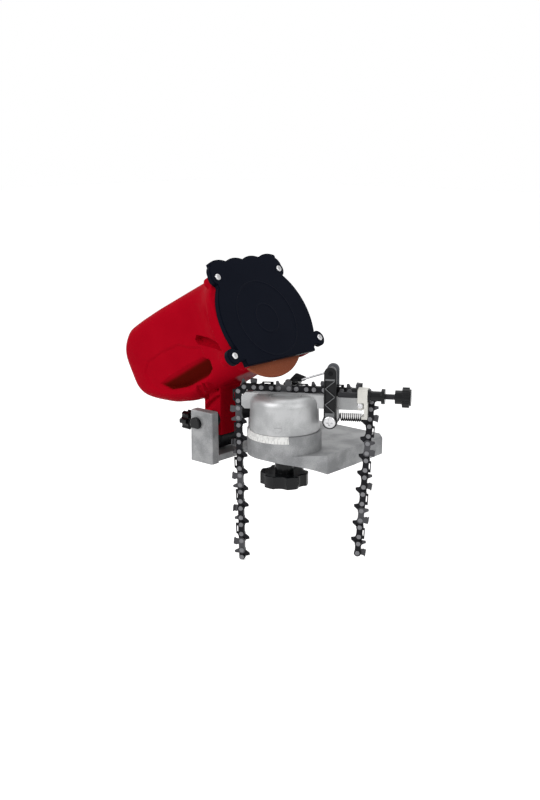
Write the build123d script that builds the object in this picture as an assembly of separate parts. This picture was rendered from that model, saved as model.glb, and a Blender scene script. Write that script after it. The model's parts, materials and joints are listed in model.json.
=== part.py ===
from build123d import *
from math import acos, atan2, cos, degrees, hypot, pi, radians, sin
import os

# Bench chain grinder: a motor head that tilts on a two-post fork, and a swivelling vice that holds
# a saw chain. Millimetres. The origin is on the bench plane, midway between the two bench bolts.
# X runs along the fork to the operator's right, Y away from the operator, Z up.
# Most shapes are drawn about the swivel axis and moved to it at the end.

# ---- frame -------------------------------------------------------------------------------
SWIVEL_X = 46.0               # vice swivel axis, from the middle of the bench bolts
SWIVEL_Y = -66.0
FIT = 0.04                    # radial running clearance of pins and shafts
GAP = 0.3                     # clearance between bodies that move past each other
SEAT = 0.05                   # clearance between bodies that are clamped together

# ---- base casting ------------------------------------------------------------------------
RING_R = 35.0
RING_TOP = 36.0
RING_UNDERSIDE = 13.0
PLATE_TOP = 18.0
PLATE_RIGHT = 50.0
PLATE_LEFT = -80.0
PLATE_BACK = 99.0
PLATE_NECK_Y = 38.0           # front edge of the plate behind the chain's sweep
PLATE_FRONT_CORNER_Y = 2.0
PLATE_EDGE_R = 2.5
SWEEP_R = 54.5                # radius kept clear for the hanging chain round the swivel axis
BOLT_SPACING = 52.0
BOLT_HOLE_R = 4.3
BOLT_PAD_R = 10.0
BOLT_PAD_H = 1.5
SPIGOT_R = 12.0
SPIGOT_END = 21.0
SCALE_HALF_ANGLE = 47.0
SCALE_BOTTOM = 29.5
SCALE_TOP_R = 33.4
SCALE_T = 0.5

# ---- fork and tilt hinge -----------------------------------------------------------------
HINGE_X = -70.0
HINGE_Z = 37.5
HINGE_R = 4.0
POST_LEFT = -79.0
POST_RIGHT = -50.5
POST_TOP = 50.0
POST_INNER_Y = 35.0
POST_T = 11.0
FORK_FLOOR = 6.0
STOP_BOSS_T = 8.0
STOP_BOSS_TOP = 28.0
STOP_BOSS_HALF = 10.0
ARM_FRONT = -21.5             # faces of the arm along y
ARM_BACK = 8.0
ARM_WALL = 3.0
ARM_LEFT = -83.8              # left face above the shoulder
ARM_RIGHT = -62.0
ARM_FOOT = 20.7
ARM_TOP = 99.5
SHOULDER_Z = 44.0
BARREL_R = 10.5
SLEEVE_R = 6.3
SPACER_R = 8.0

# ---- depth stop --------------------------------------------------------------------------
DEPTH_DROP = 15.0             # screw axis below the hinge
DEPTH_SCREW_R = 3.0
TILT_DOWN = 1.8               # degrees from rest to the stop
DEPTH_KNOB_R = 9.8
DEPTH_KNOB_T = 9.0
DEPTH_KNOB_X = -126.0
TAIL_FACE_X = -80.0
TAIL_T = 5.0
TAIL_TOP = 27.0
TAIL_BOTTOM = 8.5
TAIL_INSET = 1.0              # the tail is narrower than the arm by this on each side

# ---- motor head, in its own axes: x along the spindle, y = Y, z square to both ------------
HEAD_TILT = 29.5
WHEEL_R = 54.0
WHEEL_T = 3.2
WHEEL_BORE_R = 11.5
WHEEL_X = -33.0
WHEEL_Z = 131.5
LABEL_R = 39.0
LABEL_T = 0.4
FLANGE_R = 16.0
FLANGE_T = 3.0
SPINDLE_R = 5.0
SPINDLE_FRONT = 9.0
SPINDLE_REAR = -128.0
GUARD_R = 59.5
GUARD_MID_Y = 1.5             # centre of the guard's round part
GUARD_MID_Z = -1.0
GUARD_BOTTOM = -40.3
GUARD_TOP = 62.8
CREST_H = 2.5
CREST_R = 27.7
GUARD_WALL = 2.2
GUARD_FRONT = 13.0
GUARD_LIP = 0.8                # step round the cover's front edge
GUARD_SPLIT = 8.0
FLANGE_BACK = -12.0
TOP_SCREW = (42.3, 45.7)
LOW_SCREW = (60.1, -29.1)
LOBE_R = 7.6
LOBE_WEB = 11.5               # end of the flat bottom edge, inward from the low screws
NECK_L = 14.0                 # webs that join the low lobes to the chamber
EAR_R = 5.0                   # screw bosses behind the cover's lobes
EAR_BACK = -2.0
GUARD_SCREW_R = 2.0
GUARD_HEAD_R = 3.1
SHELL_WALL = 2.6
MOTOR_R = 25.5
MOTOR_CAN_T = 6.0
MOTOR_FRONT = -44.0
MOTOR_REAR = -104.0
ARMATURE_R = 19.0
BRACKET_T = 7.0
FRONT_BEARING = (-34.0, 11.0, 8.0)      # front face x, outer radius, width
REAR_BEARING = (-116.0, 9.5, 7.0)
COMMUTATOR_R = 9.0
SWITCH_FACE = 35.0            # outer face of the switch pad
ROCKER_TILT = 6.0             # the rocker leans this far each way

# ---- chain vice, in its own axes: x along the chain, y to the back --------------------------
VICE_TURN = 30.0
DRUM_R = 33.0
DRUM_TOP_R = 31.5
DRUM_TOP = 69.5
DRUM_EDGE_R = 9.0
TOP_POCKET_R = 20.5           # shallow round pocket in the drum's top, in front of the rail
TOP_POCKET_DEPTH = 1.2
TOP_POCKET_X = (-10.5, 15.5)
TOP_GROOVES = (-12.0, 17.0)
TOP_GROOVE_W = 0.8
POINTER_HALF = 3.6            # the pointer over the angle scale
POINTER_Z = (38.6, 43.8)
RAIL_HALF = 5.5
RAIL_BOTTOM = 57.5
RAIL_LEFT = -40.0
RAIL_RIGHT = 76.0
RAIL_TOP = 70.0
JAW_T = 2.0
JAW_TOP = 70.7
JAW_BOTTOM = 62.0
JAW_LEFT = -30.0
JAW_RIGHT = 72.0
JAW_TRAVEL = 0.5
CLAMP_Z = 60.0
CLAMP_SCREW_R = 2.5
CLAMP_KNOB_R = 10.0
CLAMP_KNOB_T = 13.0
LOCK_STUD_R = 4.0
LOCK_KNOB_R = 22.8
LOCK_KNOB_TOP = -6.0
LOCK_KNOB_BOTTOM = -18.0
LOCK_STEM_R = 9.0

# ---- chain stop ----------------------------------------------------------------------------
LEVER_X = 44.4
LEVER_PIVOT_Z = 47.4
LEVER_TOP_Z = 92.4
LEVER_HALF = 5.75
LEVER_END_R = 7.0
LEVER_T = 3.2
FRONT_LEVER_Y = -11.5
REAR_LEVER_Y = 7.4
PIVOT_R = 3.0
TOP_PIN_R = 2.0
ADJUST_Z = 73.0
ADJUST_R = 2.5
ADJUST_TIP_R = 1.0
WIRE_R = 0.9
PAWL_X = 17.0
PAWL_Z = 83.2
BRACKET_LEFT = 70.0
BRACKET_RIGHT = 79.0
LOCK_NUT = (79.2, 94.6)
ADJUST_KNOB_X = 103.5
ADJUST_KNOB_END = 118.0

# ---- saw chain -----------------------------------------------------------------------------
RIVET_Z = 74.3
STRAP_SPAN = 9.4              # rivet to rivet in a cutter or tie strap
DRIVE_SPAN = 7.11             # rivet to rivet in a drive link
DRIVE_T = 1.27
STRAP_T = 1.5
STRAP_HALF = 3.4
LINK_GAP = 0.06
RIVET_R = 1.5
RIVET_HEAD_R = 2.2
RIVET_HEAD_T = 0.7
CENTRE_RIVET_X = -5.1
BEND_LEFT = -38.0
BEND_RIGHT = 75.5
BEND_R = 6.0
LEAN_LEFT = 1.0
LEAN_RIGHT = 4.0
STRAND_LEFT = 166.0
STRAND_RIGHT = 160.0

RING_SHIFT = Pos(SWIVEL_X, SWIVEL_Y, 0)
HEAD = Pos(WHEEL_X, 0, WHEEL_Z) * Rot(0, -HEAD_TILT, 0)
VICE = Rot(0, 0, VICE_TURN)

nodes = {}


# ---- shared shapes -------------------------------------------------------------------------
def block(x, y, z):
    """A box from three (low, high) pairs."""
    size = Box(x[1] - x[0], y[1] - y[0], z[1] - z[0])
    return Pos((x[0] + x[1]) / 2, (y[0] + y[1]) / 2, (z[0] + z[1]) / 2) * size


def rod_x(radius, x0, x1, y=0.0, z=0.0):
    return Pos((x0 + x1) / 2, y, z) * Rot(0, 90, 0) * Cylinder(radius, x1 - x0)


def rod_y(radius, y0, y1, x=0.0, z=0.0):
    return Pos(x, (y0 + y1) / 2, z) * Rot(90, 0, 0) * Cylinder(radius, y1 - y0)


def rod_z(radius, z0, z1, x=0.0, y=0.0):
    return Pos(x, y, (z0 + z1) / 2) * Cylinder(radius, z1 - z0)


def along_x(sketch, x0, x1):
    """A sketch drawn in (y, z), extruded from x0 to x1."""
    return extrude(Plane(origin=(x0, 0, 0), x_dir=(0, 1, 0), z_dir=(1, 0, 0)) * sketch, amount=x1 - x0)


def along_y(sketch, y0, y1):
    """A sketch drawn in (x, z), extruded from y0 to y1."""
    return extrude(Plane(origin=(0, y1, 0), x_dir=(1, 0, 0), z_dir=(0, -1, 0)) * sketch, amount=y1 - y0)


def along_z(sketch, z0, z1):
    return extrude(Pos(0, 0, z0) * sketch, amount=z1 - z0)


def outline(*points):
    """A closed polygon, its points taken anticlockwise so that it always extrudes the same way."""
    closed = zip(points, points[1:] + points[:1])
    area = sum(a[0] * b[1] - b[0] * a[1] for a, b in closed)
    return Polygon(*(points if area > 0 else points[::-1]), align=None)


def lobed(radius, lobes, depth, waist):
    """A knob's plan: a disc with round flutes of the given depth cut into its rim."""
    plan = Circle(radius)
    for i in range(lobes):
        angle = 2 * pi * (i + 0.5) / lobes
        reach = radius - depth + waist
        plan -= Pos(reach * cos(angle), reach * sin(angle)) * Circle(waist)
    return plan


def pan_head(radius, height):
    """A cross-recess pan head that stands on z = 0."""
    head = Cylinder(radius, height, align=(Align.CENTER, Align.CENTER, Align.MIN))
    head = fillet(head.faces().sort_by(Axis.Z)[-1].edges(), height * 0.55)
    for turn in (0, 90):
        slot = Pos(0, 0, height) * Rot(0, 0, turn) * Box(radius * 1.1, radius * 0.28, height * 0.9)
        head -= slot
    return head


def hexagon(across):
    return RegularPolygon(across / 2, 6, major_radius=False)


def group(*solids):
    return Compound(children=[piece for piece in solids])


# ---- base ----------------------------------------------------------------------------------
def ring_tangent():
    """Where the plate's front wall leaves the ring, as a plan point."""
    reach = hypot(PLATE_RIGHT, PLATE_FRONT_CORNER_Y)
    angle = atan2(PLATE_FRONT_CORNER_Y, PLATE_RIGHT) - acos(RING_R / reach)
    return RING_R * cos(angle), RING_R * sin(angle)


def make_ring():
    """The raised swivel ring and the web that joins it to the plate, arched underneath."""
    tangent = ring_tangent()
    web = outline(tangent, (PLATE_RIGHT, PLATE_FRONT_CORNER_Y), (PLATE_RIGHT, PLATE_NECK_Y + 6),
                  (-RING_R * 0.75, PLATE_NECK_Y + 6), (-RING_R * 0.75, RING_R * 0.6), (0, 0))
    ring = along_z(web, 0, PLATE_TOP) + rod_z(RING_R, 0, RING_TOP)
    arch_r = (PLATE_RIGHT ** 2 + RING_UNDERSIDE ** 2) / (2 * RING_UNDERSIDE)
    arch = rod_y(arch_r, -RING_R - 5, PLATE_NECK_Y, 0, RING_UNDERSIDE - arch_r)
    arch += block((-RING_R - 5, 0), (-RING_R - 5, PLATE_NECK_Y), (-1, RING_UNDERSIDE))
    ring -= arch & block((-RING_R - 5, PLATE_RIGHT + 5), (-RING_R - 5, PLATE_NECK_Y), (-1, RING_UNDERSIDE))
    return ring


def make_plate():
    corner = 8.0
    plan = outline((PLATE_RIGHT, PLATE_NECK_Y), (PLATE_RIGHT - 2, PLATE_BACK - corner),
                   (PLATE_RIGHT - 2 - corner, PLATE_BACK), (PLATE_LEFT, PLATE_BACK),
                   (PLATE_LEFT, PLATE_NECK_Y), (-20, PLATE_NECK_Y))
    plate = along_z(plan, 0, PLATE_TOP)
    upper = plate.faces().sort_by(Axis.Z)[-1].edges()
    plate = fillet(upper, PLATE_EDGE_R)
    wedge = outline((PLATE_RIGHT, PLATE_FRONT_CORNER_Y), (PLATE_RIGHT, PLATE_NECK_Y + 8), (-20, PLATE_NECK_Y + 8),
                    (-20, PLATE_NECK_Y))
    return plate + along_z(wedge, 0, PLATE_TOP)


def make_post(side):
    """A rounded, slightly drafted fork post; side is -1 at the front, +1 at the back."""
    centre_x = (POST_LEFT + POST_RIGHT) / 2
    centre_y = side * (POST_INNER_Y + POST_T / 2)
    foot = Pos(centre_x, centre_y, 0) * RectangleRounded(POST_RIGHT - POST_LEFT, POST_T, 2.4)
    post = extrude(foot, amount=POST_TOP, taper=0.5)
    return fillet(post.faces().sort_by(Axis.Z)[-1].edges(), 1.6)


def make_base():
    base = make_ring() + make_plate()
    boss_left = TAIL_FACE_X - 4 - STOP_BOSS_T
    floor_plan = outline((boss_left, -STOP_BOSS_HALF), (POST_LEFT, -POST_INNER_Y - POST_T + 2),
                         (-SWEEP_R, -POST_INNER_Y - POST_T + 2), (-SWEEP_R, PLATE_NECK_Y + 4),
                         (POST_LEFT, PLATE_NECK_Y + 4), (boss_left, STOP_BOSS_HALF))
    base += along_z(floor_plan, 0, FORK_FLOOR)
    base += make_post(-1)
    base += make_post(1)
    base += block((boss_left, boss_left + STOP_BOSS_T), (-STOP_BOSS_HALF, STOP_BOSS_HALF), (0, STOP_BOSS_TOP))
    base -= rod_z(SPIGOT_R + FIT, SPIGOT_END - 1, RING_TOP + 1)
    base -= rod_z(LOCK_STUD_R + GAP, 0, RING_TOP)
    base -= rod_y(HINGE_R + FIT, -60, 60, HINGE_X, HINGE_Z)
    base -= rod_x(DEPTH_SCREW_R + FIT, boss_left - 1, TAIL_FACE_X, 0, HINGE_Z - DEPTH_DROP)
    base -= make_scale(SCALE_T, cutter=True)
    for end in (-1, 1):
        x = -SWIVEL_X + end * BOLT_SPACING / 2
        base += rod_z(BOLT_PAD_R, PLATE_TOP - 1, PLATE_TOP + BOLT_PAD_H, x, -SWIVEL_Y)
        base -= rod_z(BOLT_HOLE_R, -1, PLATE_TOP + BOLT_PAD_H + 1, x, -SWIVEL_Y)
    return base


def make_scale(thickness, cutter=False):
    """The white angle band on the ring's chamfer, or the cut that seats it."""
    outer = RING_R + 2 if cutter else RING_R
    top = RING_TOP + 2 if cutter else RING_TOP
    slope = (RING_R - SCALE_TOP_R) / (RING_TOP - SCALE_BOTTOM)
    if cutter:
        section = outline((SCALE_TOP_R - thickness, RING_TOP), (SCALE_TOP_R - thickness - slope * 2, top),
                          (outer, top), (outer, SCALE_BOTTOM), (RING_R - thickness, SCALE_BOTTOM))
    else:
        section = outline((SCALE_TOP_R - thickness, RING_TOP), (SCALE_TOP_R, RING_TOP),
                          (RING_R, SCALE_BOTTOM), (RING_R - thickness, SCALE_BOTTOM))
    face = Plane(origin=(0, 0, 0), x_dir=(1, 0, 0), z_dir=(0, -1, 0)) * section
    band = revolve(face, Axis.Z, 2 * SCALE_HALF_ANGLE)
    return Rot(0, 0, -90 - SCALE_HALF_ANGLE) * band


def make_hinge():
    outer = POST_INNER_Y + POST_T
    bolt = rod_y(HINGE_R, -outer, outer + 8, HINGE_X, HINGE_Z)
    cap = rod_y(6.0, -outer - 3.2, -outer, HINGE_X, HINGE_Z)
    cap -= block((HINGE_X - 8, HINGE_X + 8), (-outer - 4, -outer + 1), (HINGE_Z - 8, HINGE_Z - 4.6))
    cap = fillet(cap.faces().sort_by(Axis.Y)[0].edges(), 0.7)
    nut = Pos(HINGE_X, 0, HINGE_Z) * along_y(hexagon(13), outer, outer + 6.5) - rod_y(
        HINGE_R + FIT, outer - 1, outer + 9, HINGE_X, HINGE_Z)
    washers = []
    for y0, y1 in ((-POST_INNER_Y, ARM_FRONT - GAP), (ARM_BACK + GAP, POST_INNER_Y)):
        ring = rod_y(SPACER_R, y0, y1, HINGE_X, HINGE_Z) - rod_y(HINGE_R + FIT, y0 - 1, y1 + 1, HINGE_X, HINGE_Z)
        washers.append(ring)
    nodes["hinge_bolt"] = bolt
    nodes["hinge_cap"] = cap
    nodes["hinge_nut"] = nut
    nodes["hinge_spacers"] = group(*washers)


# ---- depth stop ----------------------------------------------------------------------------
def make_depth_stop():
    z = HINGE_Z - DEPTH_DROP
    reach = DEPTH_DROP * sin(radians(TILT_DOWN))
    tip = TAIL_FACE_X - reach - GAP
    boss_left = TAIL_FACE_X - 4 - STOP_BOSS_T
    knob_right = DEPTH_KNOB_X + DEPTH_KNOB_T / 2
    nodes["depth_screw"] = rod_x(DEPTH_SCREW_R, DEPTH_KNOB_X, tip, 0, z)
    star = along_x(lobed(DEPTH_KNOB_R, 6, 2.4, 3.0), knob_right - DEPTH_KNOB_T, knob_right)
    star += rod_x(6.0, knob_right, knob_right + 5)
    star -= rod_x(DEPTH_SCREW_R + FIT, DEPTH_KNOB_X, knob_right + 6)
    nodes["depth_knob"] = Pos(0, 0, z) * star
    spring = rod_x(5.0, knob_right + 5 + GAP, boss_left - GAP) - rod_x(
        DEPTH_SCREW_R + GAP, knob_right, boss_left)
    nodes["depth_spring"] = Pos(0, 0, z) * spring


# ---- motor head ----------------------------------------------------------------------------
def chamber_plan(inset=0.0):
    """The round wheel chamber, cut off straight below, in (y, z)."""
    disc = Pos(GUARD_MID_Y, GUARD_MID_Z) * Circle(GUARD_R - inset)
    keep = Pos(GUARD_MID_Y, GUARD_BOTTOM + inset + GUARD_R) * Rectangle(2 * GUARD_R, 2 * GUARD_R)
    return disc & keep


def low_necks(half):
    necks = Sketch()
    for side in (-1, 1):
        necks += Pos(side * (LOW_SCREW[0] - NECK_L / 2), LOW_SCREW[1]) * Rectangle(NECK_L, 2 * half)
    return necks


def guard_plan(inset=0.0):
    """The cover's lobed outline: the chamber, a row of crests on top and four screw lobes."""
    plan = chamber_plan(inset)
    top_z = TOP_SCREW[1]
    roof = GUARD_TOP - CREST_H - inset
    plan += Pos(0, roof / 2) * Rectangle(2 * (TOP_SCREW[0] + 3 - inset), roof)
    pitch = 2 * TOP_SCREW[0] / 3.75
    for i in range(4):
        middle = (i - 1.5) * pitch
        crest = Pos(middle, GUARD_TOP - CREST_R - inset) * Circle(CREST_R)
        plan += crest & (Pos(middle, GUARD_TOP - 12) * Rectangle(pitch - 2 * inset * (i % 3 == 0), 24))
    for side in (-1, 1):
        plan += Pos(side * TOP_SCREW[0], top_z) * Circle(LOBE_R - inset)
        plan += Pos(side * (TOP_SCREW[0] - 3), top_z + 4) * Circle(LOBE_R + 2.2 - inset)
        plan += Pos(side * LOW_SCREW[0], LOW_SCREW[1]) * Circle(LOBE_R - inset)
        corner = LOW_SCREW[0] - LOBE_WEB - inset
        height = LOW_SCREW[1] - GUARD_BOTTOM - inset
        plan += Pos(side * (corner - 5), GUARD_BOTTOM + inset + height / 2) * Rectangle(10, height)
    return plan + low_necks(LOBE_R - 2 - inset)


def screw_points():
    for side in (-1, 1):
        yield side * TOP_SCREW[0], TOP_SCREW[1]
        yield side * LOW_SCREW[0], LOW_SCREW[1]


def body_sections(inset):
    """Rounded sections of the motor housing along the spindle, from the flange to the rear."""
    stations = [
        (FLANGE_BACK, 49.0, -36.0, 52.0, 30.0),
        (-26.0, 41.0, -37.5, 54.5, 16.0),
        (-42.0, 36.5, -38.0, 55.4, 14.0),
        (-90.0, 34.5, -40.5, 57.4, 14.0),
        (-118.0, 33.0, -32.0, 58.0, 14.0),
        (-142.0, 30.5, -20.0, 57.7, 13.5),
        (-158.0, 27.0, -11.0, 49.0, 13.0),
        (-169.0, 20.5, 1.5, 33.0, 11.0),
    ]
    faces = []
    for x, half, low, high, corner in stations:
        shift = inset if x == stations[-1][0] else 0.0
        plan = RectangleRounded(2 * (half - inset), high - low - 2 * inset, max(corner - inset, 2.0))
        centre = (high + low) / 2
        faces.append(Plane(origin=(x + shift, 0, centre), x_dir=(0, 1, 0), z_dir=(1, 0, 0)) * plan)
    return faces


def make_arm_solid(inset):
    """The upright tilt arm, in the frame's own axes."""
    hub = BARREL_R - inset
    left = ARM_LEFT + inset
    foot = ARM_FOOT + inset
    right = ARM_RIGHT - inset
    plan = outline((HINGE_X - hub, foot), (right, foot), (right, ARM_TOP), (left, ARM_TOP), (left, SHOULDER_Z),
                   (HINGE_X - hub, HINGE_Z))
    return along_y(plan, ARM_FRONT + inset, ARM_BACK - inset)


def clamshell(shell):
    """Both halves of a moulding that is split on the plane y = 0."""
    front = shell & block((-260, 80), (-120, 0), (0, 260))
    rear = shell & block((-260, 80), (0, 120), (0, 260))
    return front, rear


def make_tilt_arm(body):
    """The hollow arm that carries the housing on the hinge, up to the housing's wall."""
    arm = make_arm_solid(0.0) - body
    arm -= make_arm_solid(ARM_WALL) & block((-200, 0), (-60, 60), (HINGE_Z + BARREL_R, 200))
    arm -= rod_y(SLEEVE_R - GAP, ARM_FRONT - 1, ARM_BACK + 1, HINGE_X, HINGE_Z)
    arm -= along_y(tail_plan(), ARM_FRONT - 1, ARM_BACK + 1)
    arm -= block((TAIL_FACE_X - 6, TAIL_FACE_X), (ARM_FRONT - 1, ARM_BACK + 1), (0, TAIL_TOP))
    nodes["tilt_arm_front"], nodes["tilt_arm_rear"] = clamshell(arm)


def make_housing():
    """The motor housing with the wheel chamber at its front, in two halves."""
    outer = HEAD * loft(body_sections(0.0), ruled=True)
    inner_form = loft(body_sections(SHELL_WALL), ruled=True)
    bowl = along_x(chamber_plan(), FLANGE_BACK, GUARD_SPLIT - 0.2)
    for y, z in screw_points():
        bowl += rod_x(EAR_R, EAR_BACK, GUARD_SPLIT - 0.2, y, z)
    bowl += along_x(low_necks(EAR_R - 1), EAR_BACK, GUARD_SPLIT - 0.2)
    pocket = along_x(chamber_plan(GUARD_WALL), FLANGE_BACK + GUARD_WALL, GUARD_SPLIT + 1)
    mouth = block((-WHEEL_T / 2 - 3, GUARD_SPLIT + 1), (-46, 46), (GUARD_BOTTOM - 2, GUARD_BOTTOM + 14))
    shell = outer + HEAD * bowl
    shell -= HEAD * (inner_form - block((FLANGE_BACK - 1, 0), (-90, 90), (-90, 90)))
    shell -= HEAD * (pocket + mouth + rod_x(SPINDLE_R + 6, FLANGE_BACK - 3, 0))
    for y, z in screw_points():
        shell -= HEAD * rod_x(GUARD_SCREW_R + FIT, EAR_BACK + 1, GUARD_SPLIT + 1, y, z)
    core = HEAD * loft(body_sections(SHELL_WALL * 0.5), ruled=True)
    shell += (HEAD * (motor_saddles() + board_ledges())) & core
    for x, z in housing_screw_points():
        shell += (HEAD * rod_y(4.2, -60, 60, x, z)) & core
        shell -= HEAD * rod_y(1.6 + FIT, -16, 60, x, z)
        shell -= HEAD * rod_y(3.4, 22, 60, x, z)
    shell += HEAD * (switch_pad() - inner_form)
    shell -= HEAD * switch_window(0.1)
    shell -= HEAD * gland_hole()
    nodes["housing_front"], nodes["housing_rear"] = clamshell(shell)
    make_tilt_arm(outer)


def motor_saddles():
    """Two ribs in the housing that hold the bearing brackets."""
    ribs = Part()
    for x in (MOTOR_FRONT + BRACKET_T / 2, MOTOR_REAR - BRACKET_T / 2):
        rib = block((x - 1.5, x + 1.5), (-60, 60), (-50, 80)) - rod_x(MOTOR_R + SEAT, x - 3, x + 3)
        ribs += rib
    return ribs


def housing_screw_points():
    return [(-26.0, 46.0), (-48.0, 47.0), (-132.0, 47.0), (-153.0, 16.0), (-124.0, -20.5)]


def tail_plan():
    step = ARM_FOOT + 1
    return outline((TAIL_FACE_X, TAIL_TOP), (TAIL_FACE_X + TAIL_T, TAIL_TOP), (TAIL_FACE_X + TAIL_T, step),
                   (ARM_RIGHT, step), (ARM_RIGHT, step - 4), (ARM_RIGHT - 4, TAIL_BOTTOM),
                   (TAIL_FACE_X + 4, TAIL_BOTTOM),
                   (TAIL_FACE_X, TAIL_BOTTOM + 3))


def make_tail():
    """The black stop tail under the arm that the depth screw meets."""
    return along_y(tail_plan(), ARM_FRONT + TAIL_INSET, ARM_BACK - TAIL_INSET)


def make_sleeve():
    """Steel bush that lines the arm's barrel."""
    return rod_y(SLEEVE_R - GAP - 0.01, ARM_FRONT, ARM_BACK, HINGE_X, HINGE_Z) - rod_y(
        HINGE_R + FIT, ARM_FRONT - 1, ARM_BACK + 1, HINGE_X, HINGE_Z)


def make_cover():
    cover = along_x(guard_plan(), GUARD_SPLIT, GUARD_FRONT - GUARD_LIP)
    cover += along_x(guard_plan(GUARD_LIP), GUARD_FRONT - GUARD_LIP, GUARD_FRONT)
    cover -= along_x(chamber_plan(GUARD_WALL), GUARD_SPLIT - 1, GUARD_FRONT - GUARD_WALL)
    for y, z in screw_points():
        cover -= rod_x(GUARD_SCREW_R + FIT, GUARD_SPLIT - 1, GUARD_FRONT + 1, y, z)
    return HEAD * cover


def make_guard_screws():
    screws = []
    for y, z in screw_points():
        shank = rod_x(GUARD_SCREW_R, EAR_BACK + 1, GUARD_FRONT, y, z)
        head = Pos(GUARD_FRONT, y, z) * Rot(0, 90, 0) * pan_head(GUARD_HEAD_R, 1.6)
        screws.append(HEAD * (shank + head))
    return group(*screws)


def make_housing_screws():
    screws = []
    for x, z in housing_screw_points():
        screws.append(HEAD * (rod_y(1.6, -15, 22, x, z) + rod_y(3.0, 22, 24.2, x, z)))
    return group(*screws)


def make_motor():
    can = rod_x(MOTOR_R, MOTOR_REAR, MOTOR_FRONT) - rod_x(MOTOR_R - MOTOR_CAN_T, MOTOR_REAR, MOTOR_FRONT)
    nodes["motor_can"] = HEAD * can
    front = rod_x(MOTOR_R, MOTOR_FRONT, MOTOR_FRONT + BRACKET_T)
    front += rod_x(FRONT_BEARING[1] + 3, MOTOR_FRONT, FRONT_BEARING[0])
    front -= rod_x(FRONT_BEARING[1], FRONT_BEARING[0] - FRONT_BEARING[2], 0)
    front -= rod_x(SPINDLE_R + 2, MOTOR_FRONT - 1, 0)
    rear = rod_x(MOTOR_R, MOTOR_REAR - BRACKET_T, MOTOR_REAR)
    rear += rod_x(REAR_BEARING[1] + 3, REAR_BEARING[0] - REAR_BEARING[2], MOTOR_REAR)
    rear -= rod_x(REAR_BEARING[1], REAR_BEARING[0] - REAR_BEARING[2], REAR_BEARING[0])
    rear -= rod_x(SPINDLE_R + 2, -200, MOTOR_REAR + 1)
    nodes["bearing_brackets"] = group(HEAD * front, HEAD * rear)
    rings = []
    for x, radius, width in (FRONT_BEARING, REAR_BEARING):
        ring = rod_x(radius, x - width, x) - rod_x(SPINDLE_R + FIT, x - width - 1, x + 1)
        rings.append(HEAD * ring)
    nodes["spindle_bearings"] = group(*rings)
    holders = []
    brushes = []
    for side in (-1, 1):
        y = sorted((side * (COMMUTATOR_R + 2), side * (MOTOR_R - MOTOR_CAN_T - 1)))
        holder = block((MOTOR_REAR, MOTOR_REAR + 8), y, (-4, 4)) - block(
            (MOTOR_REAR + 1.5, MOTOR_REAR + 6.5), (-40, 40), (-2.5, 2.5))
        holders.append(HEAD * holder)
        y = sorted((side * (COMMUTATOR_R + GAP), side * (COMMUTATOR_R + 8)))
        brush = block((MOTOR_REAR + 1.6, MOTOR_REAR + 6.4), y, (-2.4, 2.4))
        brushes.append(HEAD * brush)
    nodes["brush_holders"] = group(*holders)
    nodes["carbon_brushes"] = group(*brushes)
    board = block((-96, -58), (-16, 16), (40, 41.6))
    board += block((-92, -80), (-8, 8), (41.6, 50))
    board += rod_x(4, -76, -62, 0, 45.6)
    nodes["rectifier_board"] = HEAD * board


def board_ledges():
    """Two rails inside the housing that carry the rectifier board."""
    return block((-98, -56), (-40, -13), (36.5, 40)) + block((-98, -56), (13, 40), (36.5, 40))


def switch_window(clearance):
    return block((-112 - clearance, -88 + clearance), (20, 60), (12 - clearance, 30 + clearance))


def switch_pad():
    """The flat boss on the rear shell that the switch's bezel sits on."""
    return block((-118, -82), (28, SWITCH_FACE), (6, 36))


def gland_hole():
    return rod_y(6.0 + FIT, 15, 60, -150, 36)


def make_switch():
    wall = SWITCH_FACE
    bezel = block((-115, -85), (wall, wall + 2.0), (9, 33))
    bezel -= block((-110, -90), (wall - 2, wall + 4), (14, 28))
    case = block((-112, -88), (wall - 8, wall), (12, 30))
    case -= block((-110, -90), (wall - 6.5, wall + 2), (14, 28))
    nodes["switch_case"] = HEAD * (case + bezel)
    arc = rod_z(13.0, 14.3, 27.7, -100, wall - 7.0)
    rocker = arc & block((-109.2, -90.8), (wall - 3, wall + 12), (14.3, 27.7))
    tilt = Pos(-100, wall - 1, 21) * Rot(0, 0, -ROCKER_TILT) * Pos(100, 1 - wall, -21)
    nodes["switch_rocker"] = HEAD * (tilt * rocker)


def make_gland():
    gland = rod_y(6.0, 20, 33, -150, 36) + rod_y(8.5, 30.8, 32.4, -150, 36)
    gland += Pos(-150, 0, 36) * along_y(hexagon(15), 32.4, 37)
    gland += rod_y(6.2, 37, 40, -150, 36)
    gland -= rod_y(3.2, 10, 60, -150, 36)
    return HEAD * gland


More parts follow.
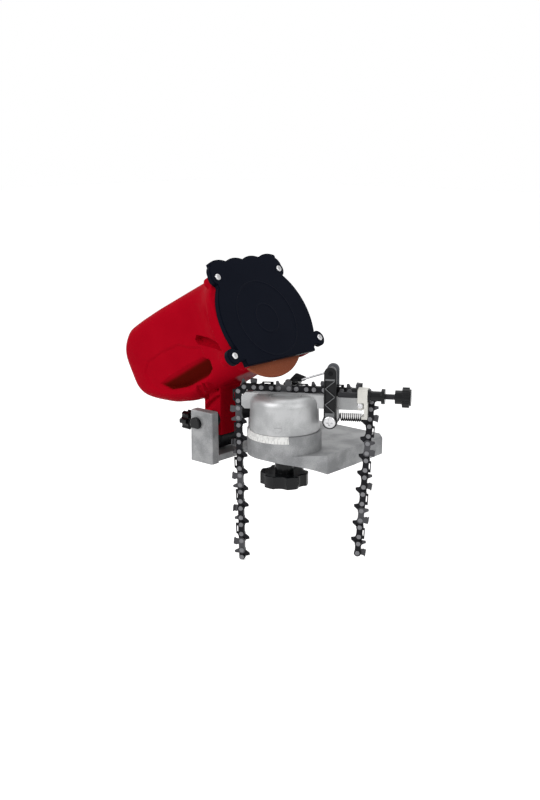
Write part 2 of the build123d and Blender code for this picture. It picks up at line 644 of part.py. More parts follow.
def make_spindle():
    shaft = rod_x(SPINDLE_R, SPINDLE_REAR + 2, SPINDLE_FRONT)
    nodes["spindle_shaft"] = HEAD * shaft
    core = rod_x(ARMATURE_R - GAP - 0.5, MOTOR_REAR + 14, MOTOR_FRONT - 6) - rod_x(SPINDLE_R, -200, 0)
    nodes["armature_core"] = HEAD * core
    commutator = rod_x(COMMUTATOR_R, MOTOR_REAR, MOTOR_REAR + 10) - rod_x(SPINDLE_R, -200, 0)
    nodes["commutator"] = HEAD * commutator
    back = -WHEEL_T / 2
    rear = rod_x(FLANGE_R, back - FLANGE_T, back) + rod_x(WHEEL_BORE_R - FIT, back, -back - 0.4)
    rear += rod_x(SPINDLE_R + 3, -22, back)
    rear -= rod_x(SPINDLE_R, -200, 200)
    nodes["rear_wheel_flange"] = HEAD * rear
    wheel = rod_x(WHEEL_R, back, -back) - rod_x(WHEEL_BORE_R, -5, 5)
    nodes["grinding_wheel"] = HEAD * wheel
    label = rod_x(LABEL_R, -back, -back + LABEL_T) - rod_x(WHEEL_BORE_R, -5, 5)
    nodes["wheel_label"] = HEAD * label
    front_x = -back + LABEL_T
    front = rod_x(FLANGE_R, front_x, front_x + 2.2) - rod_x(SPINDLE_R, -200, 200)
    nodes["front_wheel_flange"] = HEAD * front
    nut = along_x(hexagon(15), front_x + 2.2, front_x + 6.4) - rod_x(SPINDLE_R, -200, 200)
    nodes["spindle_nut"] = HEAD * nut


# ---- chain vice ----------------------------------------------------------------------------
def make_vice_casting():
    height = DRUM_TOP - RING_TOP - GAP
    drum = Pos(0, 0, RING_TOP + GAP + height / 2) * Cone(DRUM_R, DRUM_TOP_R, height)
    drum = fillet(drum.faces().sort_by(Axis.Z)[-1].edges(), DRUM_EDGE_R)
    drum -= rod_z(DRUM_R - 6, RING_TOP, RAIL_BOTTOM - 4) - rod_z(SPIGOT_R, 0, 80)
    drum += rod_z(SPIGOT_R, SPIGOT_END, RAIL_BOTTOM)
    side = outline((RAIL_LEFT + 4, RAIL_TOP), (RAIL_RIGHT - 6, RAIL_TOP), (RAIL_RIGHT, RAIL_TOP - 6),
                   (RAIL_RIGHT, RAIL_BOTTOM + 3), (RAIL_RIGHT - 3, RAIL_BOTTOM), (0, RAIL_BOTTOM),
                   (0, RAIL_BOTTOM - 3), (RAIL_LEFT + 3, RAIL_BOTTOM - 3), (RAIL_LEFT, RAIL_BOTTOM),
                   (RAIL_LEFT, RAIL_TOP - 4))
    drum -= rod_z(TOP_POCKET_R, DRUM_TOP - TOP_POCKET_DEPTH, DRUM_TOP + 1) & block(
        TOP_POCKET_X, (-DRUM_R, -RAIL_HALF), (0, 2 * DRUM_TOP))
    for x in TOP_GROOVES:
        groove = block((x - TOP_GROOVE_W / 2, x + TOP_GROOVE_W / 2), (-DRUM_R, -RAIL_HALF), (0, 2 * DRUM_TOP))
        drum -= rod_z(TOP_POCKET_R, DRUM_TOP - TOP_POCKET_DEPTH, DRUM_TOP + 1) & groove
    pointer = outline((-POINTER_HALF, POINTER_Z[1]), (POINTER_HALF, POINTER_Z[1]), (0, POINTER_Z[0]))
    drum += along_y(pointer, -DRUM_R - 0.5, -DRUM_R + 2)
    casting = drum + along_y(side, -RAIL_HALF, RAIL_HALF)
    lug = along_y(outline((LEVER_X - 6, RAIL_BOTTOM + 1), (LEVER_X - 6, LEVER_PIVOT_Z), (LEVER_X, LEVER_PIVOT_Z - 6),
                          (LEVER_X + 6, LEVER_PIVOT_Z), (LEVER_X + 6, RAIL_BOTTOM + 1)), -RAIL_HALF, RAIL_HALF - 2)
    casting += lug
    clamp_boss = rod_y(8.0, 20, DRUM_R + 4, 0, CLAMP_Z)
    casting += clamp_boss
    slot_half = DRIVE_T / 2 + 0.25
    casting -= block((RAIL_LEFT - 1, RAIL_RIGHT + 1), (-slot_half, slot_half), (66.0, 90))
    casting -= block((RAIL_LEFT - 1, -33.8), (-slot_half, slot_half), (30, 90))
    casting -= block((RAIL_RIGHT - 3.5, RAIL_RIGHT + 1), (-slot_half, slot_half), (30, 90))
    fixed = -DRIVE_T / 2 - SEAT - JAW_T
    moving = DRIVE_T / 2 + SEAT + JAW_T + JAW_TRAVEL + 0.1
    casting -= block((JAW_LEFT - 0.1, JAW_RIGHT + 0.1), (fixed, moving), (JAW_BOTTOM - 0.1, 90))
    casting -= rod_y(CLAMP_SCREW_R + FIT, 0, DRUM_R + 10, 0, CLAMP_Z + 4)
    casting -= rod_z(LOCK_STUD_R + FIT, 0, RAIL_BOTTOM - 6)
    casting -= rod_y(PIVOT_R + FIT, -20, 20, LEVER_X, LEVER_PIVOT_Z)
    casting -= rod_y(1.65, -RAIL_HALF - 1, 0, BRACKET_LEFT + 2.4, 64)
    return casting


def make_rails():
    y1 = -DRIVE_T / 2 - SEAT
    nodes["fixed_rail"] = VICE * block((JAW_LEFT, JAW_RIGHT), (y1 - JAW_T, y1), (JAW_BOTTOM, JAW_TOP))
    y0 = DRIVE_T / 2 + SEAT
    nodes["clamping_rail"] = VICE * block((JAW_LEFT, JAW_RIGHT), (y0, y0 + JAW_T), (JAW_BOTTOM, JAW_TOP))
    z = CLAMP_Z + 4
    knob_y = DRUM_R + 4 + GAP
    nodes["clamp_screw"] = VICE * rod_y(CLAMP_SCREW_R, y0 + JAW_T, knob_y + CLAMP_KNOB_T - 2, 0, z)
    knob = Plane(origin=(0, knob_y, z), x_dir=(1, 0, 0), z_dir=(0, 1, 0)) * lobed(CLAMP_KNOB_R, 8, 1.4, 2.6)
    knob = extrude(knob, amount=CLAMP_KNOB_T) - rod_y(CLAMP_SCREW_R + FIT, 0, knob_y + CLAMP_KNOB_T - 2, 0, z)
    nodes["clamp_knob"] = VICE * knob


def make_swivel_lock():
    nodes["lock_stud"] = rod_z(LOCK_STUD_R, LOCK_KNOB_TOP - 6, RAIL_BOTTOM - 8)
    knob = along_z(lobed(LOCK_KNOB_R, 6, 3.4, 9.0), LOCK_KNOB_BOTTOM, LOCK_KNOB_TOP)
    knob = chamfer(knob.faces().sort_by(Axis.Z)[-1].edges(), 0.8)
    knob += rod_z(LOCK_STEM_R, LOCK_KNOB_TOP, RING_UNDERSIDE - 0.8)
    knob -= rod_z(LOCK_STUD_R + FIT, LOCK_KNOB_TOP - 6, 40)
    nodes["lock_knob"] = VICE * knob


# ---- chain stop ----------------------------------------------------------------------------
def lever(y_centre, truss):
    half_t = LEVER_T / 2
    span = block((LEVER_X - LEVER_HALF, LEVER_X + LEVER_HALF), (-half_t, half_t), (LEVER_PIVOT_Z, LEVER_TOP_Z))
    span += rod_y(LEVER_END_R, -half_t, half_t, LEVER_X, LEVER_PIVOT_Z)
    span += rod_y(LEVER_HALF, -half_t, half_t, LEVER_X, LEVER_TOP_Z)
    span -= rod_y(PIVOT_R + FIT, -5, 5, LEVER_X, LEVER_PIVOT_Z)
    span -= rod_y(TOP_PIN_R, -5, 5, LEVER_X, LEVER_TOP_Z)
    if truss:
        low = LEVER_PIVOT_Z + LEVER_END_R + 1
        high = LEVER_TOP_Z - LEVER_HALF - 1
        inner = LEVER_HALF - 1.3
        pocket = block((LEVER_X - inner, LEVER_X + inner), (-half_t - 1, -half_t + 1.4), (low, high))
        bays = 4
        step = (high - low) / bays
        for i in range(bays):
            sign = 1 if i % 2 else -1
            angle = degrees(atan2(2 * inner, step)) * sign
            middle = low + (i + 0.5) * step
            rib = Pos(LEVER_X, -half_t, middle) * Rot(0, angle, 0) * Box(0.7, 4, hypot(step, 2 * inner) + 2)
            pocket -= rib
        span -= pocket
    return Pos(0, y_centre, 0) * span


def make_chain_stop():
    nodes["front_lever"] = VICE * lever(FRONT_LEVER_Y, True)
    nodes["rear_lever"] = VICE * lever(REAR_LEVER_Y, False)
    front_face = FRONT_LEVER_Y - LEVER_T / 2
    rear_face = REAR_LEVER_Y + LEVER_T / 2
    pin = rod_y(TOP_PIN_R, front_face - 0.6, rear_face + 0.6, LEVER_X, LEVER_TOP_Z)
    nodes["lever_top_pin"] = VICE * pin
    pivot = rod_y(PIVOT_R, front_face - SEAT, rear_face + 2.5, LEVER_X, LEVER_PIVOT_Z)
    head = Pos(LEVER_X, front_face, LEVER_PIVOT_Z) * Rot(90, 0, 0) * pan_head(5.7, 3.0)
    nodes["lever_pivot_screw"] = VICE * (pivot + Pos(0, -SEAT, 0) * head)
    spacer = rod_y(5.0, FRONT_LEVER_Y + LEVER_T / 2 + GAP, -RAIL_HALF, LEVER_X, LEVER_PIVOT_Z)
    spacer -= rod_y(PIVOT_R + FIT, -30, 30, LEVER_X, LEVER_PIVOT_Z)
    rear_spacer = rod_y(5.0, RAIL_HALF - 2, REAR_LEVER_Y - LEVER_T / 2 - GAP, LEVER_X, LEVER_PIVOT_Z)
    rear_spacer -= rod_y(PIVOT_R + FIT, -30, 30, LEVER_X, LEVER_PIVOT_Z)
    nodes["lever_spacers"] = VICE * group(spacer, rear_spacer)
    make_stop_link()
    make_stop_adjuster()


def make_stop_link():
    """The wire that carries the pawl: an eye on the top pin and a cross end in the pawl."""
    reach = hypot(LEVER_X - PAWL_X, LEVER_TOP_Z - PAWL_Z)
    slope = degrees(atan2(LEVER_TOP_Z - PAWL_Z, LEVER_X - PAWL_X))
    eye = rod_y(TOP_PIN_R + 1.8, -WIRE_R, WIRE_R, LEVER_X, LEVER_TOP_Z)
    eye -= rod_y(TOP_PIN_R + FIT, -2, 2, LEVER_X, LEVER_TOP_Z)
    wire = Pos(PAWL_X, 0, PAWL_Z) * Rot(0, -slope, 0) * rod_x(WIRE_R, 0, reach - TOP_PIN_R - 1.0)
    cross = rod_y(WIRE_R, -1.2, 6.2, PAWL_X, PAWL_Z)
    nodes["stop_wire"] = VICE * (eye + wire + cross)
    side = outline((3.4, 81.0), (5.2, 80.2), (PAWL_X - 1, 80.6), (PAWL_X + 2.4, 82.0), (PAWL_X + 2.4, 84.6),
                   (PAWL_X, 85.6), (11.5, 87.6), (9.5, 87.6))
    wedge = along_y(side, 2.4, 5.8) - rod_y(WIRE_R + FIT, 0, 8, PAWL_X, PAWL_Z)
    wedge += block((9.2, 12.6), (-2.0, 2.4), (81.0, 83.4))
    nodes["stop_pawl"] = VICE * wedge
    nodes["pawl_tip"] = VICE * block((8.0, 9.2), (-2.0, 2.4), (80.4, 83.4))


def make_stop_adjuster():
    y = FRONT_LEVER_Y
    z = ADJUST_Z
    tip = LEVER_X + LEVER_HALF + GAP
    screw = rod_x(ADJUST_R, tip, ADJUST_KNOB_END - 4, y, z)
    screw = chamfer(screw.faces().sort_by(Axis.X)[0].edges(), ADJUST_R - ADJUST_TIP_R)
    nodes["adjusting_screw"] = VICE * screw
    top = block((BRACKET_LEFT, BRACKET_RIGHT), (y - 5.5, -RAIL_HALF), (z - 6, z + 6.5))
    leg = block((BRACKET_RIGHT - 3.2, BRACKET_RIGHT), (y - 5.5, y + 3), (53.5, z - 6))
    foot = block((BRACKET_RIGHT - 5.2, BRACKET_RIGHT), (y - 5.5, y + 3), (52.0, 54.5))
    lug = block((BRACKET_LEFT, BRACKET_LEFT + 5), (y - 2.0, -RAIL_HALF), (60, z - 6))
    bracket = top + leg + foot + lug
    bracket -= rod_x(ADJUST_R + FIT, 60, 90, y, z)
    bracket -= rod_y(1.65, -30, 0, BRACKET_LEFT + 2.4, 64)
    nodes["stop_bracket"] = VICE * bracket
    holder = rod_y(1.6, y - 2.0, -3.2, BRACKET_LEFT + 2.4, 64)
    holder += Pos(BRACKET_LEFT + 2.4, y - 2.0, 64) * Rot(90, 0, 0) * pan_head(2.8, 1.6)
    nodes["bracket_screw"] = VICE * holder
    start, end = LOCK_NUT
    nut = rod_x(6.2, start, start + 2.6, y, z) + rod_x(4.6, start, end, y, z) + rod_x(7.0, end - 3.4, end, y, z)
    nut -= rod_x(ADJUST_R + FIT, start - 1, end + 1, y, z)
    nodes["lock_nut"] = VICE * nut
    knob = rod_x(6.3, ADJUST_KNOB_X, ADJUST_KNOB_END - 4)
    knob += along_x(lobed(9.4, 12, 0.8, 1.4), ADJUST_KNOB_X + 6.5, ADJUST_KNOB_END - 1.5)
    knob += rod_x(7.6, ADJUST_KNOB_END - 1.5, ADJUST_KNOB_END)
    knob -= rod_x(ADJUST_R + FIT, ADJUST_KNOB_X - 1, ADJUST_KNOB_END - 4)
    nodes["adjusting_knob"] = VICE * (Pos(0, y, z) * knob)
    coil = Pos(BRACKET_RIGHT - 5.2, y + 4.5, 53.2) * Rot(0, 172, 0) * (rod_x(3.0, 6.0, 19.0) + rod_x(0.8, 0, 7.0))
    hook = rod_y(0.8, y + 3.0, y + 4.5, BRACKET_RIGHT - 5.2, 53.2)
    nodes["stop_spring"] = VICE * (coil + hook)


# ---- saw chain -----------------------------------------------------------------------------
def chain_line(length):
    """A point on the chain's line; length is measured from x = 0, positive to the right."""
    turn = BEND_R * pi / 2
    if length >= 0:
        end, lean = BEND_RIGHT, LEAN_RIGHT
    else:
        end, lean = -BEND_LEFT, LEAN_LEFT
    sign = 1 if length >= 0 else -1
    run = abs(length)
    sweep = radians(90 + lean)
    bend = BEND_R * sweep
    if run <= end:
        x, drop = run, 0.0
    elif run <= end + bend:
        angle = (run - end) / BEND_R
        x, drop = end + BEND_R * sin(angle), BEND_R * (1 - cos(angle))
    else:
        past = run - end - bend
        x = end + BEND_R * sin(sweep) + past * cos(sweep)
        drop = BEND_R * (1 - cos(sweep)) + past * sin(sweep)
    return sign * x, RIVET_Z - drop


def next_rivet(length, span, direction):
    """The chain length at which the next rivet stands one rigid link away."""
    here = chain_line(length)
    near, far = 0.0, span * 1.6
    for _ in range(40):
        middle = (near + far) / 2
        there = chain_line(length + direction * middle)
        if hypot(there[0] - here[0], there[1] - here[1]) < span:
            near = middle
        else:
            far = middle
    return length + direction * near


def chain_rivets():
    """Rivets from the end of the left strand to the end of the right one, and the centre's index."""
    right = [CENTRE_RIVET_X]
    spans = (STRAP_SPAN, DRIVE_SPAN)
    while right[-1] < BEND_RIGHT + STRAND_RIGHT:
        right.append(next_rivet(right[-1], spans[(len(right) - 1) % 2], 1))
    left = [CENTRE_RIVET_X]
    while left[-1] > BEND_LEFT - STRAND_LEFT:
        left.append(next_rivet(left[-1], spans[len(left) % 2], -1))
    lengths = left[:0:-1] + right
    return [chain_line(value) for value in lengths], len(left) - 1


def drive_link():
    plan = outline((-3.2, -1.6), (-3.2, 1.6), (-1.6, 3.0), (DRIVE_SPAN + 1.6, 3.0), (DRIVE_SPAN + 3.2, 1.6),
                   (DRIVE_SPAN + 3.2, -1.2), (DRIVE_SPAN / 2 + 3.4, -3.6), (DRIVE_SPAN / 2 + 0.6, -7.2),
                   (DRIVE_SPAN / 2 - 1.6, -7.6), (DRIVE_SPAN / 2 - 2.6, -4.0))
    link = along_y(plan, -DRIVE_T / 2, DRIVE_T / 2)
    for x in (0, DRIVE_SPAN):
        link -= rod_y(RIVET_R + FIT, -3, 3, x, 0)
    return link


def strap(side, bumper):
    """A tie strap on one side of the chain; a bumper strap has a raised arch on its back."""
    y0, y1 = strap_faces(side)
    radius = STRAP_HALF
    plan = Pos(0, 0) * Circle(radius) + Pos(STRAP_SPAN, 0) * Circle(radius)
    plan += Pos(STRAP_SPAN / 2, 0) * Rectangle(STRAP_SPAN, 2 * radius - 1.2)
    if bumper:
        plan += outline((-0.5, 2.5), (0.5, 5.0), (STRAP_SPAN + 1.6, 5.2), (STRAP_SPAN + 1.6, 2.0))
        plan -= outline((2.0, 3.0), (2.4, 4.1), (STRAP_SPAN - 1.2, 4.2), (STRAP_SPAN - 1.2, 3.0))
    plate = along_y(plan, y0, y1)
    for x in (0, STRAP_SPAN):
        plate -= rod_y(RIVET_R + FIT, -5, 5, x, 0)
    return plate


def strap_faces(side):
    inner = DRIVE_T / 2 + LINK_GAP
    return sorted((side * inner, side * (inner + STRAP_T)))


def cutter(side):
    """A cutter: depth gauge in front, gullet, then the tooth with its top plate over the centre."""
    y0, y1 = strap_faces(side)
    plan = Circle(STRAP_HALF) + Pos(STRAP_SPAN, 0) * Circle(STRAP_HALF)
    plan += Pos(STRAP_SPAN / 2, 0) * Rectangle(STRAP_SPAN, 2 * STRAP_HALF - 1.2)
    plan += outline((-3.0, 1.0), (-2.6, 6.6), (-0.6, 7.0), (1.6, 3.0))
    plan += outline((6.3, 2.4), (5.4, 5.4), (6.6, 7.8), (12.0, 7.3), (11.8, 4.6), (11.2, 2.0))
    body = along_y(plan, y0, y1)
    for x in (0, STRAP_SPAN):
        body -= rod_y(RIVET_R + FIT, -5, 5, x, 0)
    across = sorted((side * (DRIVE_T / 2 + LINK_GAP + STRAP_T), -side * 1.9))
    top = along_y(outline((5.9, 6.7), (6.3, 7.9), (12.0, 7.4), (11.6, 6.3)), *across)
    return body + top


def rivet():
    half = DRIVE_T / 2 + LINK_GAP + STRAP_T
    pin = rod_y(RIVET_R, -half, half)
    for side in (-1, 1):
        y = sorted((side * half, side * (half + RIVET_HEAD_T)))
        pin += rod_y(RIVET_HEAD_R, *y)
    return pin


def make_chain():
    points, centre = chain_rivets()
    drives, straps, cutters, rivets = [], [], [], []
    drive = drive_link()
    plain = {side: strap(side, False) for side in (-1, 1)}
    bumper = {side: strap(side, True) for side in (-1, 1)}
    tooth = {side: cutter(side) for side in (-1, 1)}
    pin = rivet()
    for i, (x, z) in enumerate(points):
        rivets.append(VICE * (Pos(x, 0, z) * pin))
        if i + 1 == len(points):
            break
        ahead = points[i + 1]
        angle = degrees(atan2(ahead[1] - z, ahead[0] - x))
        place = VICE * Pos(x, 0, z) * Rot(0, -angle, 0)
        step = i - centre
        if step % 2:
            drives.append(place * drive)
            continue
        kind = (step // 2) % 4
        if kind % 2:
            straps.append(place * bumper[-1 if kind == 1 else 1])
            straps.append(place * plain[1 if kind == 1 else -1])
        else:
            side = -1 if kind == 0 else 1
            cutters.append(place * tooth[side])
            straps.append(place * plain[-side])
    nodes["chain_drive_links"] = group(*drives)
    nodes["chain_straps"] = group(*straps)
    nodes["chain_cutters"] = group(*cutters)
    nodes["chain_rivets"] = group(*rivets)


def build():
    nodes["base_casting"] = make_base()
    nodes["angle_scale"] = make_scale(SCALE_T)
    make_hinge()
    make_depth_stop()
    make_housing()
    nodes["stop_tail"] = make_tail()
    nodes["arm_sleeve"] = make_sleeve()
    nodes["guard_cover"] = make_cover()
    nodes["guard_screws"] = make_guard_screws()
    nodes["housing_screws"] = make_housing_screws()
    make_motor()
    make_switch()
    nodes["cable_gland"] = make_gland()
    make_spindle()
    nodes["vice_casting"] = VICE * make_vice_casting()
    make_rails()
    make_swivel_lock()
    make_chain_stop()
    make_chain()


build()
os.makedirs("parts", exist_ok=True)
for name, shape in nodes.items():
    export_step(RING_SHIFT * shape, "parts/" + name + ".step")
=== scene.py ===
import json
from math import cos, pi, radians, sin

import bmesh
import bpy
import numpy as np
from mathutils import Matrix, Vector

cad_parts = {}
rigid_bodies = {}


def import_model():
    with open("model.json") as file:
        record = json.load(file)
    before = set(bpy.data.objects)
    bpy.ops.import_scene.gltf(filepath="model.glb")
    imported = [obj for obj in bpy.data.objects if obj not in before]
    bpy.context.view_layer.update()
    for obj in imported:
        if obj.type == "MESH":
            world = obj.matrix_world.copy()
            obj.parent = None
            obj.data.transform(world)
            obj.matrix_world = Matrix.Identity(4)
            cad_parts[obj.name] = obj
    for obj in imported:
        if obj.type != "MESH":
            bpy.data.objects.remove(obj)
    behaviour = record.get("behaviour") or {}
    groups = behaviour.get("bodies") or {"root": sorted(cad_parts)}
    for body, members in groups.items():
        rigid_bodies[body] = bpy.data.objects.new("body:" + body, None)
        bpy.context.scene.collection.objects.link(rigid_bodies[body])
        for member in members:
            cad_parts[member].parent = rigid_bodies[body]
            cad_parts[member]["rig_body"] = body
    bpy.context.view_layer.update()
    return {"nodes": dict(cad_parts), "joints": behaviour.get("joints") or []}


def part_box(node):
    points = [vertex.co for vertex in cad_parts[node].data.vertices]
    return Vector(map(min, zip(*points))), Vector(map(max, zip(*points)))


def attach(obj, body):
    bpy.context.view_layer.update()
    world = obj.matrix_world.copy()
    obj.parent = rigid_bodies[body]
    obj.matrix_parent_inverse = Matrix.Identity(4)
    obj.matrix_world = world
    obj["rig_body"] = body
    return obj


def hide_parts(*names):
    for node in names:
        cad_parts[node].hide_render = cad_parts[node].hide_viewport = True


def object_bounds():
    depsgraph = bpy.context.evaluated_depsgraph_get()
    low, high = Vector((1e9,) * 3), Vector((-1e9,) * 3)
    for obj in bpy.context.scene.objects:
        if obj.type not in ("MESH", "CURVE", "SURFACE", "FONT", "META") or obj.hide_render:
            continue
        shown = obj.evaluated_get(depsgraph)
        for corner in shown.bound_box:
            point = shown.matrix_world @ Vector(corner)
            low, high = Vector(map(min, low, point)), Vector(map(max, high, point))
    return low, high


# A bench grinder for saw chain. Metres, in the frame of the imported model: the origin is on the
# bench plane between the two bench bolts, X to the operator's right, Y away, Z up.
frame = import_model()
nodes = frame["nodes"]
joint = {entry["name"]: entry for entry in frame["joints"]}
mm = 0.001

# ---- camera, light and floor ----------------------------------------------------------------
# The tool stands in soft daylight from both sides over a white floor that lies at the chain's ends.
CAMERA_PLACE = (700.9 * mm, -840.0 * mm, 308.1 * mm)
CAMERA_DOWN = 13.6
CAMERA_TURN = 41.0
LENS = 50.4
SENSOR = 36.0
FLOOR_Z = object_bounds()[0].z - 0.5 * mm
FLOOR_GLOW = 0.66
SKY_LIGHT = 0.34

camera = bpy.data.objects.new("camera", bpy.data.cameras.new("camera"))
bpy.context.collection.objects.link(camera)
camera.location = CAMERA_PLACE
camera.rotation_euler = (radians(90 - CAMERA_DOWN), 0, radians(CAMERA_TURN))
camera.data.lens = LENS
camera.data.sensor_width = SENSOR
camera.data.clip_start = 0.01
bpy.context.scene.camera = camera
bpy.context.scene.view_settings.view_transform = "Standard"


def soft_light(name, place, aim, width, height, power):
    """A rectangular softbox that looks at a point of the tool."""
    lamp = bpy.data.lights.new(name, "AREA")
    lamp.shape = "RECTANGLE"
    lamp.size = width
    lamp.size_y = height
    lamp.energy = power
    holder = bpy.data.objects.new(name, lamp)
    bpy.context.collection.objects.link(holder)
    holder.location = place
    holder.rotation_euler = (Vector(aim) - Vector(place)).to_track_quat("-Z", "Y").to_euler()


soft_light("key_light", (-0.25, -1.15, 0.95), (0.0, -0.05, 0.08), 0.9, 0.7, 11.0)
soft_light("side_light", (1.1, -0.25, 0.7), (0.0, -0.05, 0.08), 0.7, 0.7, 4.0)
soft_light("top_light", (0.0, 0.3, 1.3), (0.0, -0.05, 0.08), 1.0, 1.0, 3.5)


class Number:
    """A number in a material's node tree, so that shader maths reads as arithmetic."""

    def __init__(self, finish, socket):
        self.finish = finish
        self.socket = socket

    def __add__(self, other):
        return self.finish.maths("ADD", self, other)

    def __sub__(self, other):
        return self.finish.maths("SUBTRACT", self, other)

    def __rsub__(self, other):
        return self.finish.maths("SUBTRACT", other, self)

    def __mul__(self, other):
        return self.finish.maths("MULTIPLY", self, other)

    def __truediv__(self, other):
        return self.finish.maths("DIVIDE", self, other)

    __radd__ = __add__
    __rmul__ = __mul__


class Finish:
    """A material: a Principled shader whose sockets take numbers, colours or links."""

    def __init__(self, name, roughness=0.5, metallic=0.0):
        self.material = bpy.data.materials.new(name)
        self.material.use_nodes = True
        self.tree = self.material.node_tree
        self.shader = self.tree.nodes["Principled BSDF"]
        self.set("Roughness", roughness)
        self.set("Metallic", metallic)
        self.place = self.node("ShaderNodeTexCoord", {}, {}, "Object")

    def node(self, kind, settings, inputs, output=0):
        made = self.tree.nodes.new(kind)
        for name, value in settings.items():
            setattr(made, name, value)
        for key, value in inputs.items():
            self.feed(made.inputs[key], value)
        return Number(self, made.outputs[output])

    def feed(self, socket, value):
        if isinstance(value, Number):
            self.tree.links.new(value.socket, socket)
        else:
            socket.default_value = value

    def set(self, name, value):
        self.feed(self.shader.inputs[name], value)

    def maths(self, operation, *terms):
        return self.node("ShaderNodeMath", {"operation": operation}, dict(enumerate(terms)))

    def coordinate(self, letter):
        return self.node("ShaderNodeSeparateXYZ", {}, {"Vector": self.place}, letter)

    def noise(self, scale, detail=3.0, place=None, distortion=0.0):
        """Noise about 0.5, with that many features to the metre."""
        inputs = {"Vector": place or self.place, "Scale": scale, "Detail": detail, "Distortion": distortion}
        return self.node("ShaderNodeTexNoise", {}, inputs, "Fac")

    def between(self, value, low, high):
        """0 below low, 1 above high, and a smooth rise between them."""
        inputs = {"Value": value, "From Min": low, "From Max": high}
        return self.node("ShaderNodeMapRange", {"interpolation_type": "SMOOTHSTEP"}, inputs)

    def blend(self, mask, first, second):
        """The first colour where the mask is 0 and the second where it is 1."""
        inputs = {0: mask, 6: first, 7: second}
        return self.node("ShaderNodeMix", {"data_type": "RGBA", "clamp_factor": True}, inputs, 2)

    def relief(self, height, depth, strength=1.0):
        """Fine surface relief; depth is in metres."""
        inputs = {"Height": height, "Distance": depth, "Strength": strength}
        self.set("Normal", self.node("ShaderNodeBump", {}, inputs, "Normal"))


floor_finish = Finish("floor_white", roughness=0.9)
ray = "ShaderNodeLightPath"
seen = floor_finish.node(ray, {}, {}, "Is Camera Ray") + floor_finish.node(ray, {}, {}, "Is Glossy Ray")
seen = seen + floor_finish.node(ray, {}, {}, "Is Transmission Ray")
floor_finish.set("Base Color", (0.86, 0.86, 0.86, 1))
floor_finish.set("Emission Color", (1, 1, 1, 1))
floor_finish.set("Emission Strength", FLOOR_GLOW * seen)
floor_mesh = bmesh.new()
bmesh.ops.create_grid(floor_mesh, x_segments=1, y_segments=1, size=6.0)
bmesh.ops.translate(floor_mesh, verts=floor_mesh.verts, vec=(0, 0, FLOOR_Z))
floor = bpy.data.objects.new("floor", bpy.data.meshes.new("floor"))
floor_mesh.to_mesh(floor.data)
floor_mesh.free()
floor.data.materials.append(floor_finish.material)
bpy.context.collection.objects.link(floor)

world = bpy.data.worlds.new("studio")
bpy.context.scene.world = world
world.use_nodes = True
sky = world.node_tree
paths = sky.nodes.new("ShaderNodeLightPath")
strength = sky.nodes.new("ShaderNodeMapRange")
strength.inputs["To Min"].default_value = SKY_LIGHT
strength.inputs["To Max"].default_value = 1.0
seen = paths.outputs["Is Camera Ray"]
for kind in ("Is Glossy Ray", "Is Transmission Ray"):
    either = sky.nodes.new("ShaderNodeMath")
    either.operation = "MAXIMUM"
    sky.links.new(seen, either.inputs[0])
    sky.links.new(paths.outputs[kind], either.inputs[1])
    seen = either.outputs[0]
sky.links.new(seen, strength.inputs["Value"])
sky.links.new(strength.outputs[0], sky.nodes["Background"].inputs["Strength"])
sky.nodes["Background"].inputs["Color"].default_value = (1, 1, 1, 1)


# ---- base casting ---------------------------------------------------------------------------
# One sand casting in aluminium: a raised swivel ring in front, the bench plate behind it and a
# fork with two square posts at the left. It is left as cast, with a fine grain and soft edges.
EDGE_ANGLE = radians(32)
FLAT_ANGLE = radians(0.6)
WELD = 0.002 * mm


def finished(form, name, finish, stands_for):
    """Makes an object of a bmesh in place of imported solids: smooth faces, hard where it turns."""
    for face in form.faces:
        face.smooth = True
    for edge in form.edges:
        edge.smooth = edge.calc_face_angle(0) < EDGE_ANGLE
    mesh = bpy.data.meshes.new(name)
    form.to_mesh(mesh)
    form.free()
    mesh.materials.append(finish.material)
    piece = bpy.data.objects.new(name, mesh)
    bpy.context.collection.objects.link(piece)
    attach(piece, nodes[stands_for[0]]["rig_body"])
    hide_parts(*stands_for)
    return piece


def merged(node):
    """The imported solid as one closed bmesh, its flat faces whole again."""
    form = bmesh.new()
    form.from_mesh(nodes[node].data)
    bmesh.ops.remove_doubles(form, verts=form.verts, dist=WELD)
    bmesh.ops.dissolve_limit(form, angle_limit=FLAT_ANGLE, verts=form.verts, edges=form.edges)
    return form


def bevelled(node, radius, segments=2):
    """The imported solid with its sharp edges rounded, as a bmesh."""
    form = merged(node)
    sharp = [edge for edge in form.edges if edge.calc_face_angle(0) > EDGE_ANGLE]
    bmesh.ops.bevel(form, geom=sharp, offset=radius, offset_type="OFFSET", affect="EDGES", segments=segments,
                    profile=0.5, material=-1, clamp_overlap=True)
    return form


def evenly_shaded(piece):
    """Keeps flat faces flat beside their rounded edges."""
    even = piece.modifiers.new("even_shading", "WEIGHTED_NORMAL")
    even.keep_sharp = True


def eased(node, finish, radius, segments=2):
    evenly_shaded(finished(bevelled(node, radius, segments), node + "_eased", finish, (node,)))


def dressed(node, finish):
    """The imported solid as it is, in a finish of its own."""
    nodes[node].data.materials.clear()
    nodes[node].data.materials.append(finish.material)


def cast_metal(name, light, dark, roughness=0.42):
    """As-cast aluminium: a mottled grey with a fine sandy grain."""
    finish = Finish(name, metallic=0.55)
    clouds = finish.noise(45.0, 4.0)
    grain = finish.noise(1400.0, 2.0)
    mottle = finish.between(clouds * 0.7 + grain * 0.3, 0.36, 0.64)
    finish.set("Base Color", finish.blend(mottle, dark, light))
    finish.set("Roughness", roughness + 0.2 * grain)
    finish.relief(grain + 0.6 * finish.noise(420.0, 3.0), 0.12 * mm, 0.5)
    return finish


